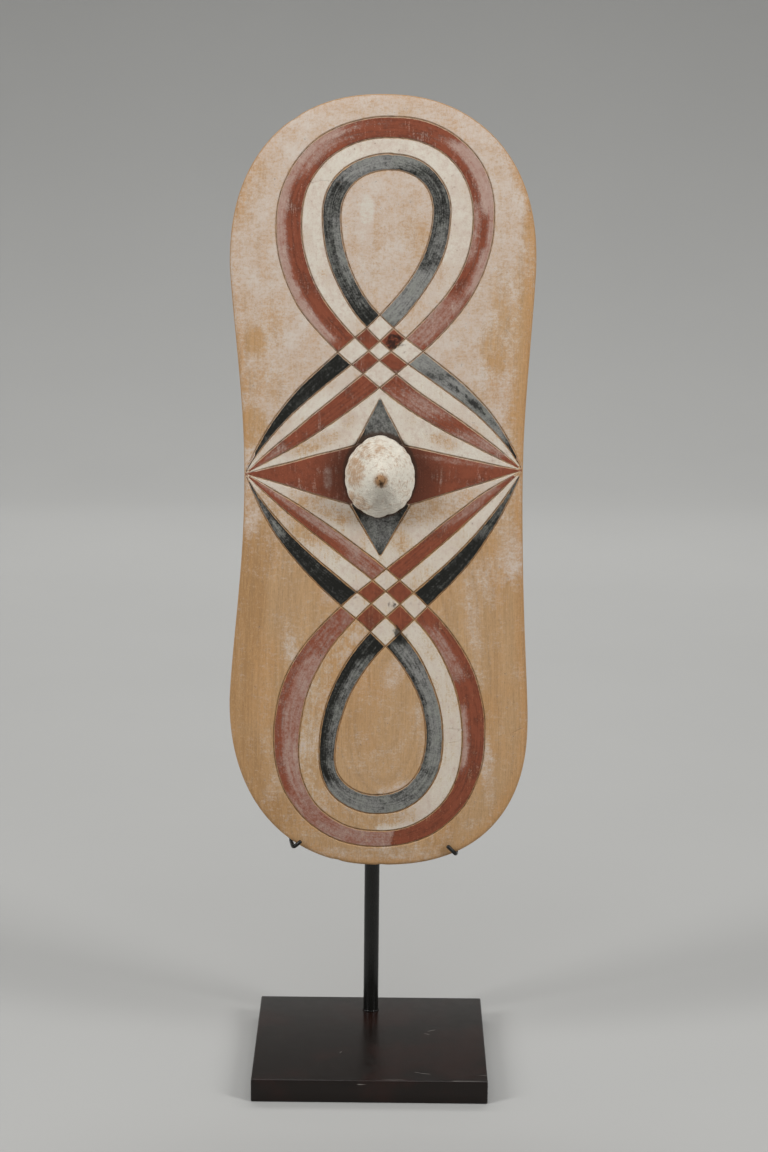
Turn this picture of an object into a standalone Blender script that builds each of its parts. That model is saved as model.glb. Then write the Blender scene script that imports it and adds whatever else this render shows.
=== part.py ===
"""A carved wooden dance shield that rests in the two hooks of its steel stand.

Metres, +Z up, the front of the shield faces -Y. The origin is the middle of the
underside of the base plate. The shield is drawn in a frame of its own, whose X runs
along the board, whose Z runs up the board and whose -Y points out of its face; an
empty then leans that frame back against the upright.
"""

import math

import bmesh
import bpy
from mathutils import Vector

# The stand
PLATE_SIDE = 0.1905
PLATE_THICKNESS = 0.019
PLATE_CHAMFER = 0.0012
UPRIGHT_RADIUS = 0.00635
UPRIGHT_SETBACK = 0.065
UPRIGHT_PAST_SLEEVE = 0.024
UPRIGHT_END_ROUND = 0.0015
FOOT_WELD = 0.0022
ROD_RADIUS = 0.0019
HOOK_SPREAD = 0.067
HOOK_TIP_INWARD = 0.0085
HOOK_TIP_RISE = 0.0055
HOOK_BACK_RISE = 0.020
HOOK_BEND_RADIUS = 0.0045

# Where the shield stands
CLEARANCE = 0.0003
SHIELD_LIFT = 0.1810
SHIELD_SIDE_SHIFT = 0.0043
LEAN = math.radians(3.0)

# The outline of the board, measured from the middle of its star
END_TOP = 0.297
END_LOW = 0.3195
WIDE_TOP = 0.165
WIDE_LOW = 0.185
HALF_WIDTH_TOP = 0.1195
HALF_WIDTH_LOW = 0.1195
WAIST_BELOW_STAR = 0.005
WAIST_LEFT = 0.1085
WAIST_RIGHT = 0.1125
WAIST_SHARPNESS = 0.65
ROUND_TOP = 2.15
ROUND_LOW_LEFT = 2.12
ROUND_LOW_RIGHT = 2.45

# The section of the board
EDGE_THICKNESS = 0.0115
EDGE_ROUND = 0.0035
CAMBER = 0.0055
CAMBER_REACH = 0.075
CAMBER_RINGS = 3

# The boss on the front
BOSS_HALF_WIDTH = 0.0277
BOSS_HALF_HEIGHT = 0.0324
BOSS_SIDE = -0.0007
BOSS_RIM_HEIGHT = 0.017
BOSS_HEIGHT = 0.0455
BOSS_NECK = 0.94
TIP_RADIUS = 0.0035

# The arm sleeve on the back
SLEEVE_OPENING_HEIGHT = 0.084
SLEEVE_OPENING_DEPTH = 0.054
SLEEVE_WALL = 0.014
SLEEVE_BAND = 0.080
SLEEVE_FLARE = 0.010
SLEEVE_ROUND = 0.004

# The incised lines
GROOVE_WIDTH = 0.0022
GROOVE_DEPTH = 0.0013
NODE_INSET = 0.0005
NODE_LEFT_HEIGHT = -0.001
NODE_RIGHT_HEIGHT = 0.004
LINE_END_SHARE = 0.955
CROSSING_ANGLES = [math.radians(a) for a in (39.0, 40.5, 42.5, 45.0)]
FAN_ANGLES = [math.radians(a) for a in (27.0, 44.0, 59.0, 69.0)]
FLANK_HANDLES = ((0.38, 0.42), (0.36, 0.42), (0.32, 0.40), (0.30, 0.38))
TAIL_HANDLES = ((0.36, 0.34), (0.36, 0.36), (0.34, 0.42), (0.33, 0.45))
LOOP_ROUND = 2.15

# The four lines of each loop, from the outer line to the inner one
UPPER_LOOP = {
    "way": 1,
    "crossing_side": -0.002,
    "crossing_heights": (0.069, 0.0905, 0.1055, 0.126),
    "top_side": 0.006,
    "tops": (0.2795, 0.2634, 0.2510, 0.2385),
    "left": (0.0838, 0.0640, 0.0480, 0.0336),
    "right": (0.0866, 0.0700, 0.0526, 0.0386),
    "widest_left": (0.194, 0.198, 0.203, 0.203),
    "widest_right": (0.204, 0.202, 0.204, 0.206),
}
LOWER_LOOP = {
    "way": -1,
    "crossing_side": 0.005,
    "crossing_heights": (0.0756, 0.0935, 0.1140, 0.1380),
    "top_side": 0.0,
    "tops": (0.3034, 0.2900, 0.2756, 0.2596),
    "left": (0.0842, 0.0640, 0.0478, 0.0348),
    "right": (0.0856, 0.0672, 0.0518, 0.0382),
    "widest_left": (0.214, 0.224, 0.227, 0.230),
    "widest_right": (0.211, 0.217, 0.215, 0.212),
}

# The four-pointed star round the boss
STAR_TOP = (-0.0014, 0.0616)
STAR_LOW = (0.0, -0.066)
STAR_CORNERS = {
    "top_left": (-0.0200, 0.0235),
    "top_right": (0.0180, 0.0235),
    "low_left": (-0.0245, -0.0235),
    "low_right": (0.0235, -0.0235),
}

# How finely the round stretches are divided
END_STEPS = 15
SIDE_STEPS = 14
BOSS_STEPS = 40
SLEEVE_STEPS = 20
LOOP_STEPS = 10
FLANK_STEPS = 12
TAIL_STEPS = 12
STAR_STEPS = 4
ROUND_STEPS = 24
BEND_STEPS = 6


def material(name, colour, roughness, metallic):
    """A Principled material with one colour."""
    made = bpy.data.materials.new(name)
    made.use_nodes = True
    shader = made.node_tree.nodes["Principled BSDF"]
    shader.inputs["Base Color"].default_value = (*colour, 1.0)
    shader.inputs["Roughness"].default_value = roughness
    shader.inputs["Metallic"].default_value = metallic
    return made


def object_from(bm, name, finish=None, parent=None):
    """Turn a bmesh into an object in the scene."""
    mesh = bpy.data.meshes.new(name)
    bm.to_mesh(mesh)
    bm.free()
    made = bpy.data.objects.new(name, mesh)
    if finish is not None:
        mesh.materials.append(finish)
    made.parent = parent
    bpy.context.collection.objects.link(made)
    return made


def smooth_shading(thing):
    """Round faces shade smooth, real edges stay sharp."""
    thing.data.shade_smooth()
    thing.data.set_sharp_from_angle(angle=math.radians(35.0))


def make_cutter(thing):
    """A shape that only cuts or joins is drawn as wire and never rendered."""
    thing.hide_render = True
    thing.display_type = "WIRE"


def add_boolean(thing, other, operation):
    """Join another solid to this one, or cut it away."""
    step = thing.modifiers.new(other.name, "BOOLEAN")
    step.operation = operation
    step.object = other
    step.solver = "EXACT"


def spin_profile(profile, steps):
    """Turn a profile of (radius, height) points round Z into a closed bmesh."""
    bm = bmesh.new()
    points = [bm.verts.new((radius, 0.0, height)) for radius, height in profile]
    edges = [bm.edges.new(pair) for pair in zip(points, points[1:])]
    bmesh.ops.spin(
        bm, geom=points + edges, axis=(0.0, 0.0, 1.0), cent=(0.0, 0.0, 0.0),
        angle=2.0 * math.pi, steps=steps, use_merge=True,
    )
    bmesh.ops.remove_doubles(bm, verts=bm.verts, dist=1e-6)
    bmesh.ops.recalc_face_normals(bm, faces=bm.faces)
    return bm


def bezier(start, leave, arrive, end, steps):
    """Points on a cubic curve, its first and last ones included."""
    points = []
    for step in range(steps + 1):
        t = step / steps
        s = 1.0 - t
        weights = (s ** 3, 3.0 * s * s * t, 3.0 * s * t * t, t ** 3)
        corners = (start, leave, arrive, end)
        points.append(sum((c * w for c, w in zip(corners, weights)), Vector((0.0, 0.0))))
    return points


# The board

def low_roundness(side):
    """The lower end is fuller on the right than on the left."""
    return ROUND_LOW_RIGHT if side > 0 else ROUND_LOW_LEFT


def waist_width(side):
    return WAIST_RIGHT if side > 0 else WAIST_LEFT


def waist_half_width(height, side):
    """Half the board's width between its two widest places."""
    above = height > -WAIST_BELOW_STAR
    widest = HALF_WIDTH_TOP if above else HALF_WIDTH_LOW
    span = WIDE_TOP + WAIST_BELOW_STAR if above else WIDE_LOW - WAIST_BELOW_STAR
    share = abs(height + WAIST_BELOW_STAR) / span
    pinch = (0.5 + 0.5 * math.cos(math.pi * share)) ** WAIST_SHARPNESS
    return widest - (widest - waist_width(side)) * pinch


def rounded_end(half_width, rise, roundness):
    """A quarter of an end, from its tip out to the widest place."""
    points = []
    for step in range(END_STEPS):
        angle = 0.5 * math.pi * step / END_STEPS
        out = half_width * math.sin(angle) ** (2.0 / roundness)
        up = rise * math.cos(angle) ** (2.0 / roundness)
        points.append((out, up))
    return points


def outline_side(side):
    """One side of the outline as (x, z), from the top tip to the lower tip."""
    top = rounded_end(HALF_WIDTH_TOP, END_TOP - WIDE_TOP, ROUND_TOP)
    low = rounded_end(HALF_WIDTH_LOW, END_LOW - WIDE_LOW, low_roundness(side))
    points = [(side * out, WIDE_TOP + up) for out, up in top]
    for step in range(SIDE_STEPS + 1):
        height = WIDE_TOP - (WIDE_TOP + WIDE_LOW) * step / SIDE_STEPS
        points.append((side * waist_half_width(height, side), height))
    points += [(side * out, -WIDE_LOW - up) for out, up in reversed(low)]
    return points


def outline():
    """The closed outline, clockwise as seen from the front."""
    right = outline_side(1)
    left = outline_side(-1)
    return [Vector(p) for p in right + left[-2:0:-1]]


OUTLINE = outline()


def edge_distance(point):
    """How far a point of the face lies inside the outline."""
    nearest = 1.0
    for a, b in zip(OUTLINE, OUTLINE[1:] + OUTLINE[:1]):
        along = (b - a)
        share = max(0.0, min(1.0, (point - a).dot(along) / along.length_squared))
        nearest = min(nearest, (point - a - along * share).length)
    return nearest


def camber_at(distance):
    """The rise of the face at a distance from the edge, as the rings of the board have it."""
    ring = CAMBER_REACH / CAMBER_RINGS
    share = max(0.0, min(float(CAMBER_RINGS), (distance - EDGE_ROUND) / ring))
    low = min(int(share), CAMBER_RINGS - 1)
    start, end = camber_of_ring(low), camber_of_ring(low + 1)
    return start + (end - start) * (share - low)


def camber_of_ring(ring):
    left_over = 1.0 - ring / CAMBER_RINGS
    return CAMBER * (1.0 - left_over * left_over)


def make_board(finish, parent):
    """The board: the outline given its thickness, a rounded edge and a low camber."""
    bm = bmesh.new()
    face = bm.faces.new([bm.verts.new((p.x, 0.0, p.y)) for p in OUTLINE])
    grown = bmesh.ops.extrude_face_region(bm, geom=[face], use_keep_orig=True)
    back = [v for v in grown["geom"] if isinstance(v, bmesh.types.BMVert)]
    bmesh.ops.translate(bm, verts=back, vec=(0.0, EDGE_THICKNESS, 0.0))
    bmesh.ops.recalc_face_normals(bm, faces=bm.faces)
    rim = [e for e in bm.edges if abs(e.verts[0].co.y - e.verts[1].co.y) < 1e-7]
    bmesh.ops.bevel(
        bm, geom=rim, offset=EDGE_ROUND, segments=2, profile=0.5,
        affect="EDGES", material=-1,
    )
    front = max(bm.faces, key=lambda f: -f.normal.y * f.calc_area())
    for ring in range(CAMBER_RINGS):
        bmesh.ops.inset_region(bm, faces=[front], thickness=CAMBER_REACH / CAMBER_RINGS)
        rise = camber_of_ring(ring + 1) - camber_of_ring(ring)
        bmesh.ops.translate(bm, verts=front.verts, vec=(0.0, -rise, 0.0))
    return object_from(bm, "shield", finish, parent)


# The boss

def make_boss(parent):
    """A worn cone on a short neck, a little higher than it is wide."""
    cone = BOSS_HEIGHT - BOSS_RIM_HEIGHT
    root = -0.5 * EDGE_THICKNESS
    tip = TIP_RADIUS / BOSS_HALF_WIDTH
    profile = [
        (0.0, root),
        (BOSS_NECK, root),
        (BOSS_NECK, CAMBER),
        (1.0, BOSS_RIM_HEIGHT - 0.12 * cone),
        (1.0, BOSS_RIM_HEIGHT),
        (0.95, BOSS_RIM_HEIGHT + 0.12 * cone),
        (0.72, BOSS_RIM_HEIGHT + 0.42 * cone),
        (0.42, BOSS_RIM_HEIGHT + 0.72 * cone),
        (2.0 * tip, BOSS_RIM_HEIGHT + 0.90 * cone),
        (tip, BOSS_RIM_HEIGHT + 0.985 * cone),
        (0.0, BOSS_HEIGHT),
    ]
    bm = spin_profile([(share * BOSS_HALF_WIDTH, up) for share, up in profile], BOSS_STEPS)
    stretch = BOSS_HALF_HEIGHT / BOSS_HALF_WIDTH
    for vert in bm.verts:
        side, up, out = vert.co
        vert.co = (BOSS_SIDE + side, -out, up * stretch)
    bmesh.ops.recalc_face_normals(bm, faces=bm.faces)
    boss = object_from(bm, "boss", parent=parent)
    make_cutter(boss)
    return boss


# The arm sleeve

def sleeve_outer_half_height():
    return 0.5 * SLEEVE_OPENING_HEIGHT + SLEEVE_WALL


def sleeve_outer_depth():
    return SLEEVE_OPENING_DEPTH + SLEEVE_WALL


def make_sleeve(parent):
    """An arched band across the back, with room for an arm between it and the board."""
    buried = 0.4 * EDGE_THICKNESS
    outer = []
    inner = []
    for step in range(SLEEVE_STEPS + 1):
        angle = math.pi * step / SLEEVE_STEPS
        across, deep = math.cos(angle), math.sin(angle)
        foot = max(0.0, 1.0 - deep / 0.4) ** 2
        half = sleeve_outer_half_height() + SLEEVE_FLARE * foot
        outer.append((half * across, EDGE_THICKNESS + sleeve_outer_depth() * deep))
        half = 0.5 * SLEEVE_OPENING_HEIGHT
        inner.append((half * across, EDGE_THICKNESS + SLEEVE_OPENING_DEPTH * deep))
    level = EDGE_THICKNESS - buried
    section = [(outer[0][0], level)] + outer + [(outer[-1][0], level)]
    section += [(inner[-1][0], level)] + inner[::-1] + [(inner[0][0], level)]
    bm = bmesh.new()
    half_band = 0.5 * SLEEVE_BAND
    face = bm.faces.new([bm.verts.new((-half_band, deep, up)) for up, deep in section])
    rim = list(face.edges)
    grown = bmesh.ops.extrude_face_region(bm, geom=[face], use_keep_orig=True)
    far = [v for v in grown["geom"] if isinstance(v, bmesh.types.BMVert)]
    rim += [e for e in grown["geom"] if isinstance(e, bmesh.types.BMEdge)]
    bmesh.ops.translate(bm, verts=far, vec=(SLEEVE_BAND, 0.0, 0.0))
    bmesh.ops.recalc_face_normals(bm, faces=bm.faces)
    outside = [e for e in rim if min(v.co.y for v in e.verts) > level + 1e-5]
    bmesh.ops.bevel(
        bm, geom=outside, offset=SLEEVE_ROUND, segments=2, profile=0.5,
        affect="EDGES", material=-1,
    )
    sleeve = object_from(bm, "arm_sleeve", parent=parent)
    make_cutter(sleeve)
    return sleeve


# The incised lines

def node_at(side):
    """The place at the waist where all the lines of one side run together."""
    height = NODE_RIGHT_HEIGHT if side > 0 else NODE_LEFT_HEIGHT
    return Vector((side * (waist_width(side) - NODE_INSET), height))


def half_line(loop, line, side):
    """One half of a line: from the loop's top down its flank, over the crossing to a node.

    The half that bounds the loop on the right ends at the left node, and the other way.
    """
    way = loop["way"]
    widest = side * loop["right" if side > 0 else "left"][line]
    level = loop["widest_right" if side > 0 else "widest_left"][line]
    top_side = loop["top_side"]
    top = loop["tops"][line]
    points = []
    for step in range(LOOP_STEPS):
        angle = 0.5 * math.pi * step / LOOP_STEPS
        out = math.sin(angle) ** (2.0 / LOOP_ROUND)
        up = math.cos(angle) ** (2.0 / LOOP_ROUND)
        points.append(Vector((top_side + (widest - top_side) * out, level + (top - level) * up)))

    start = Vector((widest, level))
    crossing = Vector((loop["crossing_side"], loop["crossing_heights"][line]))
    angle = CROSSING_ANGLES[line]
    heading = Vector((-side * math.cos(angle), -math.sin(angle)))
    reach = (crossing - start).length
    leave, arrive = FLANK_HANDLES[line]
    down = start - Vector((0.0, leave * reach))
    points += bezier(start, down, crossing - heading * arrive * reach, crossing, FLANK_STEPS)[:-1]

    node = node_at(-side)
    node.y *= way
    reach = (node - crossing).length
    leave, arrive = TAIL_HANDLES[line]
    angle = FAN_ANGLES[line]
    fan = Vector((side * math.cos(angle), math.sin(angle)))
    tail = bezier(
        crossing, crossing + heading * leave * reach, node + fan * arrive * reach, node,
        TAIL_STEPS,
    )
    tail[-1] = tail[-2] + (tail[-1] - tail[-2]) * tail_end_share(TAIL_STEPS)
    points += tail
    return [Vector((p.x, way * p.y)) for p in points]


def tail_end_share(steps):
    """A line stops short of the node, because the lines run together before it."""
    return 1.0 - steps * (1.0 - LINE_END_SHARE)


def star_lines():
    """The eight straight edges of the star, from each tip to the corners by the boss."""
    corners = {name: Vector(place) for name, place in STAR_CORNERS.items()}
    tips = {
        "top": Vector(STAR_TOP), "low": Vector(STAR_LOW),
        "left": node_at(-1), "right": node_at(1),
    }
    lines = []
    for name, corner in corners.items():
        for tip_name in name.split("_"):
            tip = tips[tip_name]
            start = corner.lerp(tip, LINE_END_SHARE)
            lines.append([start.lerp(corner, k / STAR_STEPS) for k in range(STAR_STEPS + 1)])
    return lines


def make_groove(name, path, parent):
    """A V-section cutter along a path on the face, its lower edge the groove's depth down."""
    bm = bmesh.new()
    above = GROOVE_DEPTH
    half = GROOVE_WIDTH * (1.0 + above / GROOVE_DEPTH) / 2.0
    stations = []
    for index, point in enumerate(path):
        before = path[max(index - 1, 0)]
        after = path[min(index + 1, len(path) - 1)]
        along = (after - before).normalized()
        across = Vector((-along.y, along.x)) * half
        level = camber_at(edge_distance(point))
        stations.append([
            bm.verts.new((point.x + across.x, -level - above, point.y + across.y)),
            bm.verts.new((point.x, -level + GROOVE_DEPTH, point.y)),
            bm.verts.new((point.x - across.x, -level - above, point.y - across.y)),
        ])
    for here, there in zip(stations, stations[1:]):
        for a, b in ((0, 1), (1, 2), (2, 0)):
            bm.faces.new((here[a], here[b], there[b], there[a]))
    bm.faces.new(stations[0])
    bm.faces.new(stations[-1])
    bmesh.ops.recalc_face_normals(bm, faces=bm.faces)
    groove = object_from(bm, name, parent=parent)
    make_cutter(groove)
    return groove


def make_grooves(parent):
    """All the incised lines, gathered in one collection that cuts the board."""
    gathered = bpy.data.collections.new("incised_lines")
    bpy.context.scene.collection.children.link(gathered)
    paths = []
    for loop in (UPPER_LOOP, LOWER_LOOP):
        for line in range(len(loop["tops"])):
            for side in (-1, 1):
                paths.append(half_line(loop, line, side))
    paths += star_lines()
    for number, path in enumerate(paths):
        groove = make_groove(f"groove_{number:02d}", path, parent)
        bpy.context.collection.objects.unlink(groove)
        gathered.objects.link(groove)
    return gathered


# The place of the shield on its stand

def sleeve_reach():
    """How far behind the face's edge plane the leaning sleeve touches a plumb bar."""
    rise = sleeve_outer_half_height() * math.sin(LEAN)
    depth = sleeve_outer_depth() * math.cos(LEAN)
    return math.hypot(rise, depth) + EDGE_THICKNESS * math.cos(LEAN)


def shield_origin():
    """The middle of the star, on the plane of the face's edge."""
    back = UPRIGHT_SETBACK - UPRIGHT_RADIUS - CLEARANCE - sleeve_reach()
    return Vector((SHIELD_SIDE_SHIFT, back, SHIELD_LIFT + END_LOW * math.cos(LEAN)))


def on_shield(side, out, up):
    """A point given along, out of and up the board, in the frame of the stand."""
    origin = shield_origin()
    return Vector((
        origin.x + side,
        origin.y - out * math.cos(LEAN) + up * math.sin(LEAN),
        origin.z + out * math.sin(LEAN) + up * math.cos(LEAN),
    ))


def low_edge_height(x):
    """The height of the board's lower edge at a place along it."""
    roundness = low_roundness(x)
    share = 1.0 - (abs(x) / HALF_WIDTH_LOW) ** roundness
    return -WIDE_LOW - (END_LOW - WIDE_LOW) * share ** (1.0 / roundness)


def make_shield(finish):
    """The whole carving: board, boss and sleeve in one piece, with the lines cut in."""
    frame = bpy.data.objects.new("shield_frame", None)
    frame.location = shield_origin()
    frame.rotation_euler = (-LEAN, 0.0, 0.0)
    bpy.context.collection.objects.link(frame)
    shield = make_board(finish, frame)
    add_boolean(shield, make_sleeve(frame), "UNION")
    cut = shield.modifiers.new("incised_lines", "BOOLEAN")
    cut.operation = "DIFFERENCE"
    cut.operand_type = "COLLECTION"
    cut.collection = make_grooves(frame)
    cut.solver = "EXACT"
    add_boolean(shield, make_boss(frame), "UNION")
    smooth_shading(shield)
    return shield


# The stand

def make_plate(finish):
    """The square plate, with a fine chamfer along every edge."""
    bm = bmesh.new()
    bmesh.ops.create_cube(bm, size=1.0)
    bmesh.ops.scale(bm, verts=bm.verts, vec=(PLATE_SIDE, PLATE_SIDE, PLATE_THICKNESS))
    bmesh.ops.bevel(
        bm, geom=bm.edges[:], offset=PLATE_CHAMFER, segments=2, profile=0.5,
        affect="EDGES", material=-1,
    )
    plate = object_from(bm, "base_plate", finish)
    plate.location = (0.0, 0.0, 0.5 * PLATE_THICKNESS)
    return plate


def sleeve_contact_height():
    """The height at which the sleeve touches the upright."""
    rise = sleeve_outer_half_height() * math.sin(LEAN)
    depth = sleeve_outer_depth() * math.cos(LEAN)
    share = 1.0 / math.hypot(rise, depth)
    up = sleeve_outer_half_height() * rise * share
    back = EDGE_THICKNESS + sleeve_outer_depth() * depth * share
    return on_shield(0.0, -back, up).z


def make_upright(finish):
    """The round bar, with a bead of weld at its foot and a rounded top."""
    foot = PLATE_THICKNESS + CLEARANCE
    length = sleeve_contact_height() + UPRIGHT_PAST_SLEEVE - foot
    profile = [
        (0.0, 0.0),
        (UPRIGHT_RADIUS + FOOT_WELD, 0.0),
        (UPRIGHT_RADIUS + 0.45 * FOOT_WELD, 0.45 * FOOT_WELD),
        (UPRIGHT_RADIUS, 1.2 * FOOT_WELD),
        (UPRIGHT_RADIUS, length - UPRIGHT_END_ROUND),
        (UPRIGHT_RADIUS - 0.3 * UPRIGHT_END_ROUND, length - 0.3 * UPRIGHT_END_ROUND),
        (UPRIGHT_RADIUS - UPRIGHT_END_ROUND, length),
        (0.0, length),
    ]
    upright = object_from(spin_profile(profile, ROUND_STEPS), "upright", finish)
    upright.location = (0.0, UPRIGHT_SETBACK, foot)
    smooth_shading(upright)
    return upright


def hook_corners(side):
    """The corners of one hook's rod, from the upright out to the tip before the face."""
    back_side = side * HOOK_SPREAD - SHIELD_SIDE_SHIFT
    tip_side = back_side - side * HOOK_TIP_INWARD
    under_back = low_edge_height(back_side) - ROD_RADIUS - CLEARANCE
    under_front = low_edge_height(tip_side) - ROD_RADIUS - CLEARANCE
    behind = -(EDGE_THICKNESS + ROD_RADIUS + CLEARANCE)
    before = ROD_RADIUS + CLEARANCE + camber_at(HOOK_TIP_RISE)
    rise = under_back + ROD_RADIUS + HOOK_BACK_RISE
    shoulder = on_shield(back_side, behind, rise)
    bar = Vector((0.0, UPRIGHT_SETBACK, shoulder.z))
    outward = (shoulder - bar).normalized()
    return [
        bar + outward * (UPRIGHT_RADIUS + CLEARANCE),
        shoulder,
        on_shield(back_side, behind, under_back),
        on_shield(tip_side + side * 0.35 * HOOK_TIP_INWARD, before, under_front),
        on_shield(tip_side, before, low_edge_height(tip_side) + HOOK_TIP_RISE),
    ]


def bent_rod(corners):
    """The points of a rod with a round bend at each inner corner."""
    points = [corners[0]]
    for before, corner, after in zip(corners, corners[1:], corners[2:]):
        arm_in = before - corner
        arm_out = after - corner
        trim = min(HOOK_BEND_RADIUS, 0.45 * arm_in.length, 0.45 * arm_out.length)
        start = corner + arm_in.normalized() * trim
        end = corner + arm_out.normalized() * trim
        for step in range(BEND_STEPS + 1):
            t = step / BEND_STEPS
            points.append(start.lerp(corner, t).lerp(corner.lerp(end, t), t))
    return points + [corners[-1]]


def make_hook(name, side, finish):
    """One hook: a thin rod from the upright, under the shield's edge and up before it."""
    points = bent_rod(hook_corners(side))
    curve = bpy.data.curves.new(name, "CURVE")
    curve.dimensions = "3D"
    curve.bevel_depth = ROD_RADIUS
    curve.bevel_resolution = 3
    curve.use_fill_caps = True
    spline = curve.splines.new("POLY")
    spline.points.add(len(points) - 1)
    for target, point in zip(spline.points, points):
        target.co = (*point, 1.0)
    curve.materials.append(finish)
    hook = bpy.data.objects.new(name, curve)
    bpy.context.collection.objects.link(hook)
    return hook


def build():
    """Clear the scene and make the five pieces."""
    for old in list(bpy.data.objects):
        bpy.data.objects.remove(old, do_unlink=True)
    make_shield(material("shield_wood", (0.55, 0.36, 0.20), 0.75, 0.0))
    make_plate(material("plate_steel", (0.030, 0.024, 0.021), 0.38, 0.8))
    make_upright(material("upright_steel", (0.020, 0.019, 0.019), 0.30, 0.8))
    rod_steel = material("rod_steel", (0.020, 0.019, 0.019), 0.35, 0.8)
    make_hook("hook_left", -1, rod_steel)
    make_hook("hook_right", 1, rod_steel)


build()
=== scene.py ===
"""The finish of a carved and painted dance shield and of the steel stand that holds it.

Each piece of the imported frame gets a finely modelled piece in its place: the shield with
its cut lines, boss and arm sleeve, and the stand's plate, bar and bent hooks.
"""

import math

import bmesh
import bpy
import numpy as np
from bpy.props import FloatProperty, FloatVectorProperty, PointerProperty
from bpy.types import Operator, Panel, PropertyGroup
from mathutils import Euler, Matrix, Vector, geometry, kdtree, noise


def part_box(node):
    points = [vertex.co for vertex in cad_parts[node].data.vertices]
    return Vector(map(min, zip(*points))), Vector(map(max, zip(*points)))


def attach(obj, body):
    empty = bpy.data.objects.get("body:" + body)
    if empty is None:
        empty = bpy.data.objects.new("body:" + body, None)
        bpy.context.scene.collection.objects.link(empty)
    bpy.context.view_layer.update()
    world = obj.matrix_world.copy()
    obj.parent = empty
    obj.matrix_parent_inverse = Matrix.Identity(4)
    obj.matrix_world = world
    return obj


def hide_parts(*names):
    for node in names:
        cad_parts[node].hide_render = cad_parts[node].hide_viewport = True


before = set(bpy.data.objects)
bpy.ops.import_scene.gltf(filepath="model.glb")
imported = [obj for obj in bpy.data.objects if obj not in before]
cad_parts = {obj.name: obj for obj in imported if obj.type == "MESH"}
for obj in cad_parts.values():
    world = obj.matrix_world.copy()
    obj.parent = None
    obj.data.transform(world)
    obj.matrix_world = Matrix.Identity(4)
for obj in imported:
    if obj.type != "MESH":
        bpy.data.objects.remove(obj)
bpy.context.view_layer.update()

bl_info = {
    "name": "Painted dance shield",
    "version": (1, 0, 0),
    "blender": (4, 5, 0),
    "location": "View3D > Sidebar > Shield",
    "description": "Builds a carved and painted dance shield on its steel stand",
    "category": "Add Mesh",
}

MM = 0.001

# The outline of the board, in metres from the middle of its star
END_TOP = 0.297
END_LOW = 0.3195
WIDE_TOP = 0.165
WIDE_LOW = {-1: 0.185, 1: 0.198}
HALF_WIDTH_TOP = 0.1203
HALF_WIDTH_LOW = 0.1199
WAIST_BELOW_STAR = 0.005
WAIST = {-1: 0.1085, 1: 0.1125}
WAIST_SHARPNESS = 0.65
ROUND_TOP = 2.26
ROUND_LOW = {-1: 2.21, 1: 2.44}

# The section of the board
EDGE_THICKNESS = 0.0115
EDGE_ROUND = 0.0035
CAMBER = 0.0055
CAMBER_REACH = 0.075

# The boss
BOSS_HALF_WIDTH = 0.0277
BOSS_HALF_HEIGHT = 0.0324
BOSS_SIDE = -0.0007
BOSS_HEIGHT = 0.0455
# Where its cone starts above the rim, and the foot and rim as (share of radius, height)
BOSS_SHOULDER = 0.0205
BOSS_CONE_STEPS = 24
BOSS_FOOT = (
    (0.0, -0.004), (0.5, -0.004), (0.94, -0.004), (0.94, 0.0), (0.945, 0.004),
    (0.955, 0.008), (0.985, 0.0125), (1.0, 0.0155), (0.998, 0.0178),
)
# The pit at its tip: how far beside and above the tip; its half width, half height and depth
BOSS_PIT_SHIFT = (0.0005, -0.0030)
BOSS_PIT = (0.0013, 0.0016, 0.0022)

# The arm sleeve
SLEEVE_OPENING_HEIGHT = 0.084
SLEEVE_OPENING_DEPTH = 0.054
SLEEVE_WALL = 0.014
SLEEVE_BAND = 0.080
SLEEVE_FLARE = 0.010

# The shield on its stand
LEAN = math.radians(3.0)
UPRIGHT_SETBACK = 0.065
UPRIGHT_RADIUS = 0.00635
UPRIGHT_END_ROUND = 0.0015
CLEARANCE = 0.0003
SHIELD_LIFT = 0.1810
SHIELD_SIDE_SHIFT = 0.0043
ROD_RADIUS = 0.0016
HOOK_STAND_OFF = 0.0036
HOOK_BACK_RISE = 0.022
HOOK_BEND_RADIUS = 0.0042
PLATE_SIDE = 0.1905
PLATE_THICKNESS = 0.019
FOOT_WELD = 0.0022
# Each hook's side place behind the board, its lowest bend in front and its tip; -1 left
HOOK_BENDS = {
    -1: (-0.0702, (-0.0677, -0.3041), (-0.0614, -0.2986)),
    1: (0.0643, (0.0634, -0.3080), (0.0565, -0.3012)),
}

# The incised lines
NODE_INSET = 0.0005
NODE_HEIGHT = {-1: -0.001, 1: 0.004}
CROSSING_ANGLES = [math.radians(a) for a in (39.0, 40.5, 42.5, 45.0)]
FAN_ANGLES = [math.radians(a) for a in (27.0, 44.0, 59.0, 69.0)]
FLANK_HANDLES = ((0.38, 0.42), (0.36, 0.42), (0.32, 0.40), (0.30, 0.38))
TAIL_HANDLES = ((0.36, 0.34), (0.36, 0.36), (0.34, 0.42), (0.33, 0.45))
LOOP_ROUND = 2.15

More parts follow.
